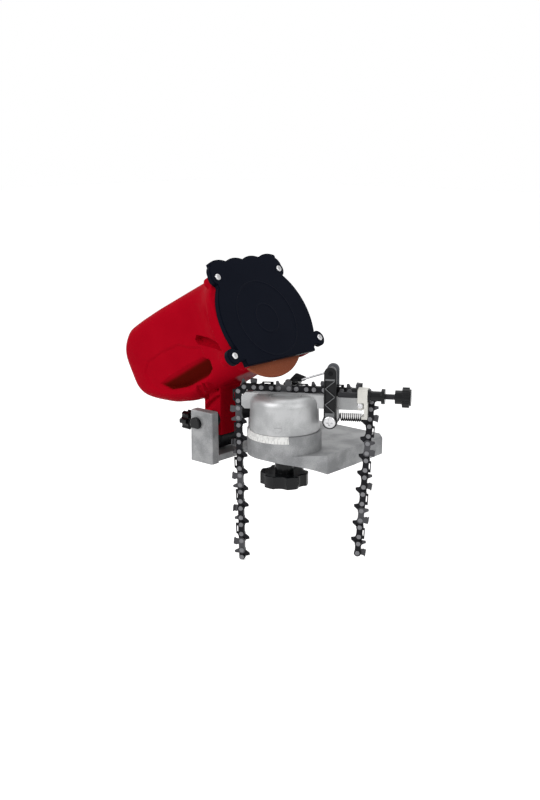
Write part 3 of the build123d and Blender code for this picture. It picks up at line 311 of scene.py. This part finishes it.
cast_grey = cast_metal("cast_grey", (0.36, 0.365, 0.37, 1), (0.2, 0.204, 0.21, 1))
eased("base_casting", cast_grey, 0.8 * mm, 3)


# ---- angle scale ----------------------------------------------------------------------------
# A white band on the ring's chamfer, printed with a short line every five degrees and a long one
# every fifteen.
TICK_STEP = radians(5)
TICK_HALF = 0.04
SHORT_TICK_TOP = 0.4
LONG_TICK_TOP = 0.75


def printed_scale():
    finish = Finish("printed_scale", roughness=0.5)
    low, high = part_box("angle_scale")
    swivel = joint["vice_swivel"]["pos_m"]
    x = finish.coordinate("X") - swivel[0]
    y = finish.coordinate("Y") - swivel[1]
    level = (finish.coordinate("Z") - low.z) / (high.z - low.z)
    turn = finish.maths("ARCTAN2", x, -1.0 * y) / TICK_STEP
    ink = 0.0
    for step, top in ((1, SHORT_TICK_TOP), (3, LONG_TICK_TOP)):
        away = finish.maths("ABSOLUTE", finish.maths("FRACT", turn / step + 0.5) - 0.5)
        line = finish.maths("LESS_THAN", away, TICK_HALF / step) * finish.maths("LESS_THAN", level, top)
        ink = finish.maths("MAXIMUM", ink, line)
    worn = finish.between(finish.noise(260.0, 4.0), 0.3, 0.62)
    white = finish.blend(worn, (0.62, 0.62, 0.61, 1), (0.82, 0.82, 0.8, 1))
    finish.set("Base Color", finish.blend(ink * 0.6, white, (0.05, 0.05, 0.05, 1)))
    return finish


dressed("angle_scale", printed_scale())


# ---- tilt hinge -----------------------------------------------------------------------------
# A through bolt in the fork with a notched black cap in front, a nut behind and two plain spacers
# that keep the arm in the middle.
def moulded(name, colour, roughness, grain=0.03, scale=1500.0, sheen=0.2):
    """Moulded plastic: one colour, faintly uneven in gloss, with a fine leather-like skin."""
    finish = Finish(name)
    finish.set("Specular IOR Level", sheen)
    skin = finish.noise(scale, 2.0)
    cloud = finish.noise(30.0, 3.0)
    light = tuple(min(1.0, part * 1.25 + 0.002) for part in colour)
    finish.set("Base Color", finish.blend(cloud, (*colour, 1), (*light, 1)))
    finish.set("Roughness", roughness - 0.05 + 0.1 * cloud)
    finish.relief(skin, grain * mm, 0.5)
    return finish


def turned(name, colour, roughness, scale=900.0):
    """Drawn or turned steel: bright, with fine streaks and handling marks."""
    finish = Finish(name, metallic=1.0)
    streak = finish.noise(scale, 2.0)
    smear = finish.noise(60.0, 4.0)
    dark = tuple(part * 0.72 for part in colour)
    finish.set("Base Color", finish.blend(finish.between(smear, 0.3, 0.7), (*dark, 1), (*colour, 1)))
    finish.set("Roughness", roughness + 0.14 * streak)
    finish.relief(streak, 0.01 * mm, 0.4)
    return finish


gloss_black = moulded("gloss_black", (0.0035, 0.004, 0.005), 0.2, grain=0.01, sheen=0.2)
matte_black = moulded("matte_black", (0.004, 0.004, 0.005), 0.42, sheen=0.1)
bright_steel = turned("bright_steel", (0.62, 0.62, 0.63), 0.24)
drawn_steel = turned("drawn_steel", (0.42, 0.42, 0.43), 0.36)
dark_steel = turned("dark_steel", (0.028, 0.028, 0.03), 0.36)

dressed("hinge_bolt", bright_steel)
eased("hinge_cap", gloss_black, 0.25 * mm)
eased("hinge_nut", bright_steel, 0.3 * mm)
dressed("hinge_spacers", matte_black)


# ---- depth stop -----------------------------------------------------------------------------
# A fluted black knob on a long dark screw through the base's rear boss, held still by a spring.
eased("depth_knob", gloss_black, 0.8 * mm, 3)
dressed("depth_screw", dark_steel)

COIL_POINTS = 10


def coil(node, axis, wire, turns, finish):
    """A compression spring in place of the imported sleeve, wound about its middle along an axis."""
    corners = [vert.co.copy() for vert in nodes[node].data.vertices]
    low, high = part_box(node)
    middle = (low + high) / 2
    heights = [(corner - middle).dot(axis) for corner in corners]
    reach = max(heights) - wire / 2
    outer = max((corner - middle - axis * height).length for corner, height in zip(corners, heights))
    radius = outer - wire / 2
    up = axis.orthogonal().normalized()
    side = axis.cross(up)
    wound = bpy.data.curves.new(node + "_coil", "CURVE")
    wound.dimensions = "3D"
    wound.bevel_depth = wire / 2
    wound.bevel_resolution = 3
    spline = wound.splines.new("NURBS")
    steps = turns * COIL_POINTS
    spline.points.add(steps)
    for i, point in enumerate(spline.points):
        turn = 2 * pi * turns * i / steps
        place = middle + axis * reach * (2 * i / steps - 1) + (up * cos(turn) + side * sin(turn)) * radius
        point.co = (*place, 1)
    spline.order_u = 3
    spline.use_endpoint_u = True
    wound.materials.append(finish.material)
    piece = bpy.data.objects.new(node + "_coil", wound)
    bpy.context.collection.objects.link(piece)
    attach(piece, nodes[node]["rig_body"])
    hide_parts(node)


coil("depth_spring", Vector((1, 0, 0)), 1.2 * mm, 12, drawn_steel)


# ---- motor housing --------------------------------------------------------------------------
# Two moulded halves in red, bolted together on the spindle's plane. The body is a rounded box
# that drops towards the back and flares into the round wheel chamber in front. A hollow arm
# carries it on the hinge. Sizes are in the head's own axes: x along the spindle, z square to it.
HOUSING_STATIONS = (
    # x, half width, underside, top, corner radius
    (-169.0, 16.0, 6.0, 28.0, 9.5),
    (-167.5, 20.5, 1.5, 33.0, 11.5),
    (-158.0, 27.0, -11.0, 49.0, 13.0),
    (-142.0, 30.5, -20.0, 57.7, 13.5),
    (-118.0, 33.0, -32.0, 58.0, 14.0),
    (-90.0, 34.5, -40.5, 57.4, 14.0),
    (-42.0, 36.5, -38.6, 55.4, 16.0),
    (-26.0, 39.5, -39.2, 54.6, 19.0),
    (-13.0, 46.5, -39.6, 55.0, 32.0),
    (-3.0, 57.0, -40.3, 57.0, 48.0),
    (6.0, 58.0, -40.3, 58.0, 48.0),
)
STATION_GAP = 2.0
STATION_SMOOTHING = 6
RING_POINTS = 72
CHAMBER_POINTS = 96
LEAST_EDGE = 0.1 * mm
CHAMBER_R = 59.5
CHAMBER_MID_Y = 1.5
CHAMBER_MID_Z = -1.0
CHAMBER_BOTTOM = -40.3
CHAMBER_BACK = -4.0
HOUSING_FRONT = 7.8
EAR_BACK = -2.0
EAR_NECK = 14.0
NECK_HALF = 4.0
EAR_R = 5.0
EAR_PLACES = ((42.3, 45.7), (60.1, -29.1))
SWITCH_PAD = ((-118, 28, 6), (-82, 35, 36))
VOXEL = 1.15 * mm
SKIN_SMOOTHING = 3

spindle = joint["spindle_spin"]
head = Vector(spindle["axis"]).to_track_quat("X", "Z").to_matrix().to_4x4()
head = Matrix.Translation(spindle["pos_m"]) @ head
hinge = Vector(joint["head_tilt"]["pos_m"])


def in_head(x, y, z):
    return head @ (Vector((x, y, z)) * mm)


def lofted(form, stations):
    """A closed tube of rounded rectangles along the spindle, eased from one station to the next."""
    xs = np.array([station[0] for station in stations])
    values = np.array([station[1:] for station in stations])
    count = int((xs[-1] - xs[0]) / STATION_GAP)
    places = np.linspace(xs[0], xs[-1], count)
    columns = [np.interp(places, xs, values[:, k]) for k in range(4)]
    kernel = np.array([0.25, 0.5, 0.25])
    for column in columns:
        for _ in range(STATION_SMOOTHING):
            column[1:-1] = np.convolve(column, kernel, mode="valid")
    rings = []
    for i, (x, half, low, high, corner) in enumerate(zip(places, *columns)):
        made = bmesh.ops.create_circle(form, segments=RING_POINTS, radius=1.0, cap_ends=i in (0, count - 1))
        for vert in made["verts"]:
            across, up = vert.co.x, vert.co.y
            y = (half - corner) * np.sign(across) + corner * across
            z = (low + high) / 2 + ((high - low) / 2 - corner) * np.sign(up) + corner * up
            vert.co = in_head(x, y, z)
        rings.append({edge for vert in made["verts"] for edge in vert.link_edges})
    for near, far in zip(rings, rings[1:]):
        bmesh.ops.bridge_loops(form, edges=list(near) + list(far))


def prism(form, corners, along):
    """A closed slab: a polygon and its copy moved by a vector."""
    face = form.faces.new([form.verts.new(corner) for corner in corners])
    swept = bmesh.ops.extrude_face_region(form, geom=[face], use_keep_orig=True)["geom"]
    moved = [item for item in swept if isinstance(item, bmesh.types.BMVert)]
    bmesh.ops.translate(form, verts=moved, vec=along)


def chamber(form, inset, x0, x1):
    """The wheel chamber's outline, a circle cut off straight below, as a slab from x0 to x1."""
    radius = CHAMBER_R - inset
    corners = []
    for step in range(CHAMBER_POINTS):
        turn = 2 * pi * step / CHAMBER_POINTS
        z = max(CHAMBER_MID_Z + radius * sin(turn), CHAMBER_BOTTOM + inset)
        corners.append(in_head(x0, CHAMBER_MID_Y + radius * cos(turn), z))
    distinct = [corner for i, corner in enumerate(corners) if (corner - corners[i - 1]).length > LEAST_EDGE]
    prism(form, distinct, in_head(x1, 0, 0) - in_head(x0, 0, 0))


def rod(form, radius, start, end, segments=40):
    """A closed cylinder between two points."""
    along = end - start
    place = Matrix.Translation((start + end) / 2) @ along.to_track_quat("Z", "Y").to_matrix().to_4x4()
    bmesh.ops.create_cone(form, cap_ends=True, segments=segments, radius1=radius, radius2=radius,
                          depth=along.length, matrix=place)


def brick(form, corner, opposite):
    """A closed box between two corners, in the head's axes."""
    made = bmesh.ops.create_cube(form, size=1.0)["verts"]
    for vert in made:
        share = vert.co + Vector((0.5, 0.5, 0.5))
        vert.co = in_head(*(a + (b - a) * part for a, b, part in zip(corner, opposite, share)))


def worked(form, name, *steps):
    """The form after modifiers, given as a kind and its settings, as a new bmesh."""
    bmesh.ops.recalc_face_normals(form, faces=form.faces)
    holder = bpy.data.objects.new(name, bpy.data.meshes.new(name))
    form.to_mesh(holder.data)
    form.free()
    bpy.context.collection.objects.link(holder)
    for kind, settings in steps:
        modifier = holder.modifiers.new(kind.lower(), kind)
        for key, value in settings.items():
            setattr(modifier, key, value)
    seen = holder.evaluated_get(bpy.context.evaluated_depsgraph_get())
    result = bmesh.new()
    result.from_mesh(seen.to_mesh())
    bpy.data.objects.remove(holder)
    return result


def carved(form, *cutters):
    """The form with each closed cutter taken away in turn."""
    tools = []
    for cutter in cutters:
        bmesh.ops.recalc_face_normals(cutter, faces=cutter.faces)
        tool = bpy.data.objects.new("cutter", bpy.data.meshes.new("cutter"))
        cutter.to_mesh(tool.data)
        cutter.free()
        bpy.context.collection.objects.link(tool)
        tools.append(tool)
    steps = [("BOOLEAN", {"operation": "DIFFERENCE", "solver": "EXACT", "object": tool}) for tool in tools]
    result = worked(form, "carving", *steps)
    for tool in tools:
        bpy.data.objects.remove(tool)
    return result


# The arm: its outline in front view, in millimetres from the hinge.
ARM_FRONT = -21.5
ARM_BACK = 8.0
ARM_OUTLINE = ((-10.5, -10.4), (-4.9, -10.4), (-4.9, -15.7), (8, -15.7), (8, 62), (-13.8, 62), (-13.8, 6.5),
               (-10.5, 0))
HUB_BORE_R = 6.02


def at_hinge(x, y, z):
    return hinge + Vector((x, y, z)) * mm


def housing_blank():
    """The whole outside as one skin, from overlapping closed forms."""
    form = bmesh.new()
    lofted(form, HOUSING_STATIONS)
    chamber(form, 0.0, CHAMBER_BACK, HOUSING_FRONT)
    for side in (-1, 1):
        for y, z in EAR_PLACES:
            rod(form, EAR_R * mm, in_head(EAR_BACK, side * y, z), in_head(HOUSING_FRONT, side * y, z))
        y, z = EAR_PLACES[1]
        brick(form, (EAR_BACK, side * (y - EAR_NECK), z - NECK_HALF),
              (HOUSING_FRONT, side * y, z + NECK_HALF))
    brick(form, *SWITCH_PAD)
    outline = [at_hinge(x, ARM_FRONT, z) for x, z in ARM_OUTLINE]
    prism(form, outline, Vector((0, (ARM_BACK - ARM_FRONT) * mm, 0)))
    form = worked(form, "housing_blank", ("REMESH", {"mode": "VOXEL", "voxel_size": VOXEL}))
    for _ in range(SKIN_SMOOTHING):
        bmesh.ops.smooth_vert(form, verts=form.verts, factor=0.5, use_axis_x=True, use_axis_y=True,
                              use_axis_z=True)
    return form


def distance_inside(points, corners):
    """Signed distance to a polygon, above 0 inside it."""
    nearest = np.full(len(points), 1e9)
    inside = np.zeros(len(points), bool)
    for start, end in zip(corners, corners[1:] + corners[:1]):
        a, b = np.array(start), np.array(end)
        share = np.clip((points - a) @ (b - a) / ((b - a) @ (b - a)), 0, 1)
        nearest = np.minimum(nearest, np.linalg.norm(points - a - share[:, None] * (b - a), axis=1))
        crosses = (a[1] > points[:, 1]) != (b[1] > points[:, 1])
        rise = b[1] - a[1] if b[1] != a[1] else 1.0
        inside ^= crosses & (points[:, 0] < (b[0] - a[0]) * (points[:, 1] - a[1]) / rise + a[0])
    return np.where(inside, nearest, -nearest)


FACING_GAIN = 1.4


def pressed(form, axes, corners, depth, ramp, side, least):
    """Sinks a polygon, drawn in x and z, into the skin on one side; depth may vary with x and z."""
    inverse = axes.inverted()
    local = np.array([(inverse @ vert.co)[:] for vert in form.verts]) / mm
    flat = local[:, (0, 2)]
    rise = np.clip(distance_inside(flat, list(corners)) / ramp + 0.5, 0, 1)
    rise = rise * rise * (3 - 2 * rise)
    sunk = rise * (depth(*flat.T) if callable(depth) else depth)
    inward = (axes.to_3x3() @ Vector((0, 1, 0))).normalized()
    for vert, share, place in zip(form.verts, sunk, local):
        if share > 0.01 and place[1] * side > least:
            facing = abs(vert.normal.dot(inward))
            vert.co -= inward * side * share * min(1.0, facing * FACING_GAIN) * mm


# What is sunk into the sides, in the head's axes: a shallow panel, a finger scoop that deepens to
# a sharp lower lip, and a narrow slot beside the wheel chamber. A ramp is the width of the slope
# round a hollow, and only the skin further out than SIDE_LEAST is moved.
SIDE_LEAST = 20
PANEL = ((-138, 8), (-127, 16), (-102, 17), (-74, 14), (-62, 6), (-46, 0), (-45, -28), (-79, -31), (-96, -28),
         (-122, -18), (-136, -6))
PANEL_DEPTH = 1.3
PANEL_RAMP = 2.4
SCOOP = ((-122, -9.5), (-104, -8), (-70, -8), (-50, -9.5), (-41, -15), (-42, -23), (-54, -27), (-84, -26),
         (-108, -20))
SCOOP_TOP = -6.0
SCOOP_DEPTH = 7.4
SCOOP_HEIGHT = 17.0
SCOOP_RAMP = 2.2
SLOT = ((-44.5, 11.5), (-48, 8.5), (-46.5, 4), (-15, -14.5), (-7, -15.5), (-8, -11.5))
SLOT_DEPTH = 6.5
SLOT_RAMP = 1.4
# On the arm, from the hinge: three upright slots between ribs, and a slanting one below them.
ARM_POCKETS = (((-12.4, 16.3), (-7.2, 18.6), (-6.2, 33.5), (-11.8, 32)),
               ((-3.8, 28), (-2.2, 28), (-1.2, 36), (-3.2, 36)),
               ((1.2, 27.4), (5.6, 28.1), (7, 36.4), (2.8, 37.5)),
               ((-12, 7.6), (-9, 13), (2, 21.6), (6.6, 24), (6.6, 19.5), (0, 13), (-5, 8)))
POCKET_DEPTH = 3.0
POCKET_RAMP = 1.4
ARM_LEAST = 6


def scoop_depth(x, z):
    return SCOOP_DEPTH * np.clip((SCOOP_TOP - z) / SCOOP_HEIGHT, 0, 1)


# What is open inside and through the shell, in the head's axes.
WALL = 2.6
CHAMBER_WALL = 2.4
ROOM_BACK = CHAMBER_BACK + 0.6
ROOM_FRONT = HOUSING_FRONT + 1
MOUTH_HALF = 39
MOUTH_HEIGHTS = (-50, -28)
FLANGE_ROOM_R = 19
FLANGE_ROOM = (-6.4, 1)
MOTOR_ROOM_HALF = 25.8
MOTOR_ROOM_CORNER = 20.0
TAIL_ROOM = (-165.5, 17.5, 4.5, 30.0, 9.0)
SHAFT_WAY_R = 11
SHAFT_WAY = (-16, -5)
HUB_BORE = (-30, 20)
SWITCH_OPENING = ((-112.2, 20, 11.8), (-87.8, 45, 30.2))
GLAND_PLACE = (-150, 36)
GLAND_HOLE_R = 6.1
GLAND_HOLE = (15, 45)
SCREW_PLACES = ((-26, 46), (-48, 47), (-132, 47), (-153, 16), (-124, -20.5))
SCREW_HOLE_R = 3.4
SCREW_HOLE = (22, 60)


def housing_cutters():
    """What is open: the wheel chamber, its mouth, the motor's room, the hub and the small holes."""
    wheel_room = bmesh.new()
    chamber(wheel_room, CHAMBER_WALL, ROOM_BACK, ROOM_FRONT)
    mouth = bmesh.new()
    brick(mouth, (ROOM_BACK, -MOUTH_HALF, MOUTH_HEIGHTS[0]), (ROOM_FRONT, MOUTH_HALF, MOUTH_HEIGHTS[1]))
    rod(mouth, FLANGE_ROOM_R * mm, *(in_head(x, 0, 0) for x in FLANGE_ROOM))
    motor_room = bmesh.new()
    inner = [(x, min(half - WALL, MOTOR_ROOM_HALF), low + WALL, high - WALL, MOTOR_ROOM_CORNER)
             for x, half, low, high, _ in HOUSING_STATIONS[2:-2]]
    lofted(motor_room, [TAIL_ROOM] + inner)
    shaft_way = bmesh.new()
    rod(shaft_way, SHAFT_WAY_R * mm, *(in_head(x, 0, 0) for x in SHAFT_WAY))
    holes = bmesh.new()
    rod(holes, HUB_BORE_R * mm, *(at_hinge(0, y, 0) for y in HUB_BORE))
    brick(holes, *SWITCH_OPENING)
    x, z = GLAND_PLACE
    rod(holes, GLAND_HOLE_R * mm, *(in_head(x, y, z) for y in GLAND_HOLE))
    for x, z in SCREW_PLACES:
        rod(holes, SCREW_HOLE_R * mm, *(in_head(x, y, z) for y in SCREW_HOLE), segments=24)
    return wheel_room, mouth, motor_room, shaft_way, holes


SEAM_EASE = 0.3 * mm
SEAM_ANGLE = radians(60)


def half_of(form, side):
    """The half of a closed form on one side of the seam, capped, with its rim eased."""
    part = form.copy()
    seam = in_head(0, 0, 0)
    cut = bmesh.ops.bisect_plane(part, geom=part.verts[:] + part.edges[:] + part.faces[:], plane_co=seam,
                                 plane_no=(0, -side, 0), clear_outer=True)["geom_cut"]
    rim = [item for item in cut if isinstance(item, bmesh.types.BMEdge)]
    bmesh.ops.triangle_fill(part, edges=rim, use_beauty=False, use_dissolve=False)
    rim = [edge for edge in part.edges if edge.calc_face_angle(0) > SEAM_ANGLE
           and all(abs(vert.co.y - seam.y) < WELD / 2 for vert in edge.verts)]
    bmesh.ops.bevel(part, geom=rim, offset=SEAM_EASE, offset_type="OFFSET", affect="EDGES", segments=1,
                    clamp_overlap=True)
    return part


def housing_form():
    form = housing_blank()
    for side in (-1, 1):
        pressed(form, head, PANEL, PANEL_DEPTH, PANEL_RAMP, side, SIDE_LEAST)
        pressed(form, head, SCOOP, scoop_depth, SCOOP_RAMP, side, SIDE_LEAST)
        pressed(form, head, SLOT, SLOT_DEPTH, SLOT_RAMP, side, SIDE_LEAST)
        for pocket in ARM_POCKETS:
            pressed(form, Matrix.Translation(hinge), pocket, POCKET_DEPTH, POCKET_RAMP, side, ARM_LEAST)
    return carved(form, *housing_cutters())


# The painted shadow in the scoop lies between two slopes in x and two in z, and starts a little inside the
# side wall, whose half width grows from the back to the front. All in the head's axes.
PAINTED_SCOOP_SHADOW = (0.09, 0.004, 0.002, 1)
SHADE_X = ((-126, -120), (-44, -40))
SHADE_Z = ((-27, -24), (-12, -7))
SHADE_START = (0.8, 3.2)
WALL_X = (-140, -30)
WALL_HALF = (31.4, 34.8)
SATIN_IOR = 1.12


def red_with_painted_scoop_shadow():
    """Saturated red plastic, with a painted shadow darkening the deep faces of the scoops."""
    finish = moulded("housing_red", (0.35, 0.0008, 0.009), 0.34, grain=0.02, scale=1300.0, sheen=0.035)
    finish.set("IOR", SATIN_IOR)

    def slope(value, ends):
        return finish.between(value, ends[0] * mm, ends[1] * mm)

    axes = head.to_3x3().transposed()
    away = [finish.coordinate(letter) - place for letter, place in zip("XYZ", head.translation)]
    x = away[0] * axes[0].x + away[2] * axes[0].z
    z = away[0] * axes[2].x + away[2] * axes[2].z
    wall = slope(x, WALL_X) * ((WALL_HALF[1] - WALL_HALF[0]) * mm) + WALL_HALF[0] * mm
    painted_shadow = slope(wall - finish.maths("ABSOLUTE", away[1]), SHADE_START)
    for value, (rise, fall) in ((x, SHADE_X), (z, SHADE_Z)):
        painted_shadow = painted_shadow * slope(value, rise) * (1 - slope(value, fall))
    plain = finish.shader.inputs["Base Color"].links[0].from_socket
    # Painted shadow: the base colour turns dark red-brown on the scoop's deep faces.
    finish.set("Base Color", finish.blend(painted_shadow, Number(finish, plain), PAINTED_SCOOP_SHADOW))
    return finish


housing_red = red_with_painted_scoop_shadow()
housing = housing_form()
for side, name in ((-1, "front"), (1, "rear")):
    finished(half_of(housing, side), "housing_skin_" + name, housing_red,
             ("housing_" + name, "tilt_arm_" + name))
housing.free()
eased("stop_tail", matte_black, 0.5 * mm)
dressed("arm_sleeve", drawn_steel)
eased("housing_screws", bright_steel, 0.3 * mm)


# ---- wheel cover ----------------------------------------------------------------------------
# The black front of the guard: lobed for its four screws, with a row of crests on top, a rounded
# rim and two faint raised rings about the spindle.
COVER_FACE = 13.0
COVER_RINGS = ((14.0, 1.1), (37.0, 0.9))
BEAD_POINTS = 12
BEAD_STEPS = 96
BEAD_HALF_HEIGHT = 0.56
BEAD_SUNK = 0.2
COVER_IOR = 1.3


def raised_ring(form, radius, width):
    """A low rounded bead on the cover's face, from a small oval spun about the spindle."""
    turns = np.linspace(0, 2 * pi, BEAD_POINTS, False)
    section = [(radius + width * cos(turn), BEAD_HALF_HEIGHT * sin(turn) - BEAD_SUNK) for turn in turns]
    verts = [form.verts.new(in_head(COVER_FACE + rise, reach, 0)) for reach, rise in section]
    loop = [form.edges.new((a, b)) for a, b in zip(verts, verts[1:] + verts[:1])]
    bmesh.ops.spin(form, geom=verts + loop, cent=in_head(0, 0, 0), axis=in_head(1, 0, 0) - in_head(0, 0, 0),
                   angle=2 * pi, steps=BEAD_STEPS, use_merge=True)


cover_black = moulded("cover_black", (0.0028, 0.0042, 0.0095), 0.4, grain=0.03, scale=1100.0, sheen=0.06)
cover_black.set("IOR", COVER_IOR)
form = bevelled("guard_cover", 1.1 * mm, 3)
for radius, width in COVER_RINGS:
    raised_ring(form, radius, width)
bmesh.ops.recalc_face_normals(form, faces=form.faces)
evenly_shaded(finished(form, "guard_cover_eased", cover_black, ("guard_cover",)))
eased("guard_screws", bright_steel, 0.15 * mm)


# ---- switch and cable gland -----------------------------------------------------------------
# On the rear shell: a rocker in a black bezel, and the gland that the mains lead goes in by.
eased("switch_case", matte_black, 0.5 * mm)
eased("switch_rocker", gloss_black, 0.5 * mm)
eased("cable_gland", matte_black, 0.4 * mm)


# ---- motor ----------------------------------------------------------------------------------
# Inside the housing: the wound motor between its two bearing brackets, the brushes and the board.
aluminium = cast_metal("die_cast", (0.46, 0.465, 0.47, 1), (0.33, 0.335, 0.34, 1), 0.38)
laminated = turned("laminated", (0.2, 0.2, 0.21), 0.5)
copper = turned("copper", (0.62, 0.3, 0.16), 0.35)
carbon = moulded("carbon", (0.02, 0.02, 0.02), 0.7)
board_green = moulded("board_green", (0.02, 0.09, 0.03), 0.4)
for node, finish in (("motor_can", laminated), ("bearing_brackets", aluminium),
                     ("spindle_bearings", bright_steel), ("brush_holders", matte_black),
                     ("carbon_brushes", carbon), ("rectifier_board", board_green),
                     ("armature_core", laminated), ("commutator", copper),
                     ("spindle_shaft", bright_steel)):
    dressed(node, finish)


# ---- grinding wheel -------------------------------------------------------------------------
# A brown vitrified wheel between two steel flanges, with a pale paper label and a nut in front.
def vitrified():
    finish = Finish("vitrified", roughness=0.85)
    cells = finish.node("ShaderNodeTexVoronoi", {}, {"Vector": finish.place, "Scale": 1500.0}, "Distance")
    grit = finish.noise(2200.0, 2.0)
    cloud = finish.noise(60.0, 3.0)
    brown = finish.blend(cloud, (0.27, 0.062, 0.023, 1), (0.34, 0.085, 0.032, 1))
    finish.set("Base Color", finish.blend(finish.between(grit, 0.62, 0.72), brown, (0.45, 0.2, 0.12, 1)))
    finish.relief(cells + 0.6 * grit, 0.12 * mm, 0.7)
    return finish


def paper(name, colour):
    finish = Finish(name, roughness=0.8)
    fibre = finish.noise(700.0, 4.0)
    dark = tuple(part * 0.85 for part in colour)
    finish.set("Base Color", finish.blend(fibre, (*dark, 1), (*colour, 1)))
    finish.relief(fibre, 0.02 * mm, 0.4)
    return finish


eased("grinding_wheel", vitrified(), 0.5 * mm)
dressed("wheel_label", paper("label_paper", (0.8, 0.8, 0.78)))
for node in ("rear_wheel_flange", "front_wheel_flange"):
    eased(node, drawn_steel, 0.3 * mm)
eased("spindle_nut", bright_steel, 0.3 * mm)


# ---- chain vice -----------------------------------------------------------------------------
# A round bead-blasted casting that turns on the ring, with a long slotted rail across its top.
blasted = cast_metal("blasted", (0.5, 0.505, 0.51, 1), (0.33, 0.335, 0.34, 1), 0.34)
eased("vice_casting", blasted, 0.6 * mm, 3)
for node in ("fixed_rail", "clamping_rail", "clamp_screw"):
    eased(node, drawn_steel, 0.15 * mm)
eased("clamp_knob", gloss_black, 0.6 * mm, 3)
dressed("lock_stud", dark_steel)
eased("lock_knob", gloss_black, 1.0 * mm, 3)


# ---- chain stop -----------------------------------------------------------------------------
# A pair of levers on a pivot screw under the rail, a wire from their top to the pawl that the
# chain stops against, and the bracket with the adjusting screw that the levers lean on.
# Where the lever's painted highlight lies: the half width and half height of the ribbed zone, and the depths
# behind the front face where it starts and is full.
RIB_ZONE = (4.3, 18.0)
RIB_FACE = (0.5, 0.2)


def lever_black_painted_highlight():
    """Black, with a painted highlight on the lever's crossed ribs where they stand at its front face."""
    finish = Finish("lever_black_painted_highlight", roughness=0.4)
    finish.set("Specular IOR Level", 0.2)
    out = Vector(joint["stop_lever_tilt"]["axis"]).normalized()
    out *= 1 if out.y < 0 else -1
    across = out.cross(Vector((0, 0, 1)))
    corners = [vert.co for vert in nodes["front_lever"].data.vertices]
    middle = (min(corner.z for corner in corners) + max(corner.z for corner in corners)) / 2
    spine = Vector(joint["stop_lever_tilt"]["pos_m"]).dot(across)
    face = max(corner.dot(out) for corner in corners)
    place = [finish.coordinate(letter) for letter in "XYZ"]
    forward = place[0] * out.x + place[1] * out.y
    sideways = finish.maths("ABSOLUTE", place[0] * across.x + place[1] * across.y - spine)
    upward = finish.maths("ABSOLUTE", place[2] - middle)
    painted_highlight = finish.between(forward, face - RIB_FACE[0] * mm, face - RIB_FACE[1] * mm)
    painted_highlight = painted_highlight * finish.maths("LESS_THAN", sideways, RIB_ZONE[0] * mm)
    painted_highlight = painted_highlight * finish.maths("LESS_THAN", upward, RIB_ZONE[1] * mm)
    # Painted highlight: pale grey on the ribs' front faces.
    finish.set("Base Color", finish.blend(painted_highlight, (0.006, 0.0065, 0.0075, 1), (0.16, 0.165, 0.17, 1)))
    return finish


lever_grey = moulded("lever_grey", (0.10, 0.105, 0.115), 0.4)
bracket_cast = cast_metal("bracket_cast", (0.66, 0.65, 0.61, 1), (0.52, 0.51, 0.48, 1), 0.4)
eased("front_lever", lever_black_painted_highlight(), 0.25 * mm)
eased("rear_lever", lever_grey, 0.5 * mm, 3)
for node, finish, radius in (("lever_pivot_screw", bright_steel, 0.2), ("lever_top_pin", matte_black, 0.2),
                             ("lever_spacers", matte_black, 0.2), ("stop_wire", drawn_steel, 0.1),
                             ("stop_pawl", matte_black, 0.25), ("pawl_tip", matte_black, 0.2),
                             ("stop_bracket", bracket_cast, 0.4), ("bracket_screw", bright_steel, 0.15),
                             ("adjusting_screw", dark_steel, 0.1), ("adjusting_knob", gloss_black, 0.5),
                             ("lock_nut", gloss_black, 0.4)):
    eased(node, finish, radius * mm)
coil("stop_spring", Vector(joint["stop_knob_turn"]["axis"]), 1.15 * mm, 11, dark_steel)


# ---- saw chain ------------------------------------------------------------------------------
# A length of chain over the rail: black straps and drive links, bright rivets, plated cutters.
chain_black = turned("chain_black", (0.016, 0.016, 0.018), 0.3)
rivet_steel = turned("rivet_steel", (0.19, 0.19, 0.2), 0.34)
cutter_plated = turned("cutter_plated", (0.07, 0.07, 0.075), 0.3)
for node, finish, radius in (("chain_drive_links", chain_black, 0.12), ("chain_straps", chain_black, 0.2),
                             ("chain_cutters", cutter_plated, 0.15), ("chain_rivets", rivet_steel, 0.2)):
    eased(node, finish, radius * mm, 1)
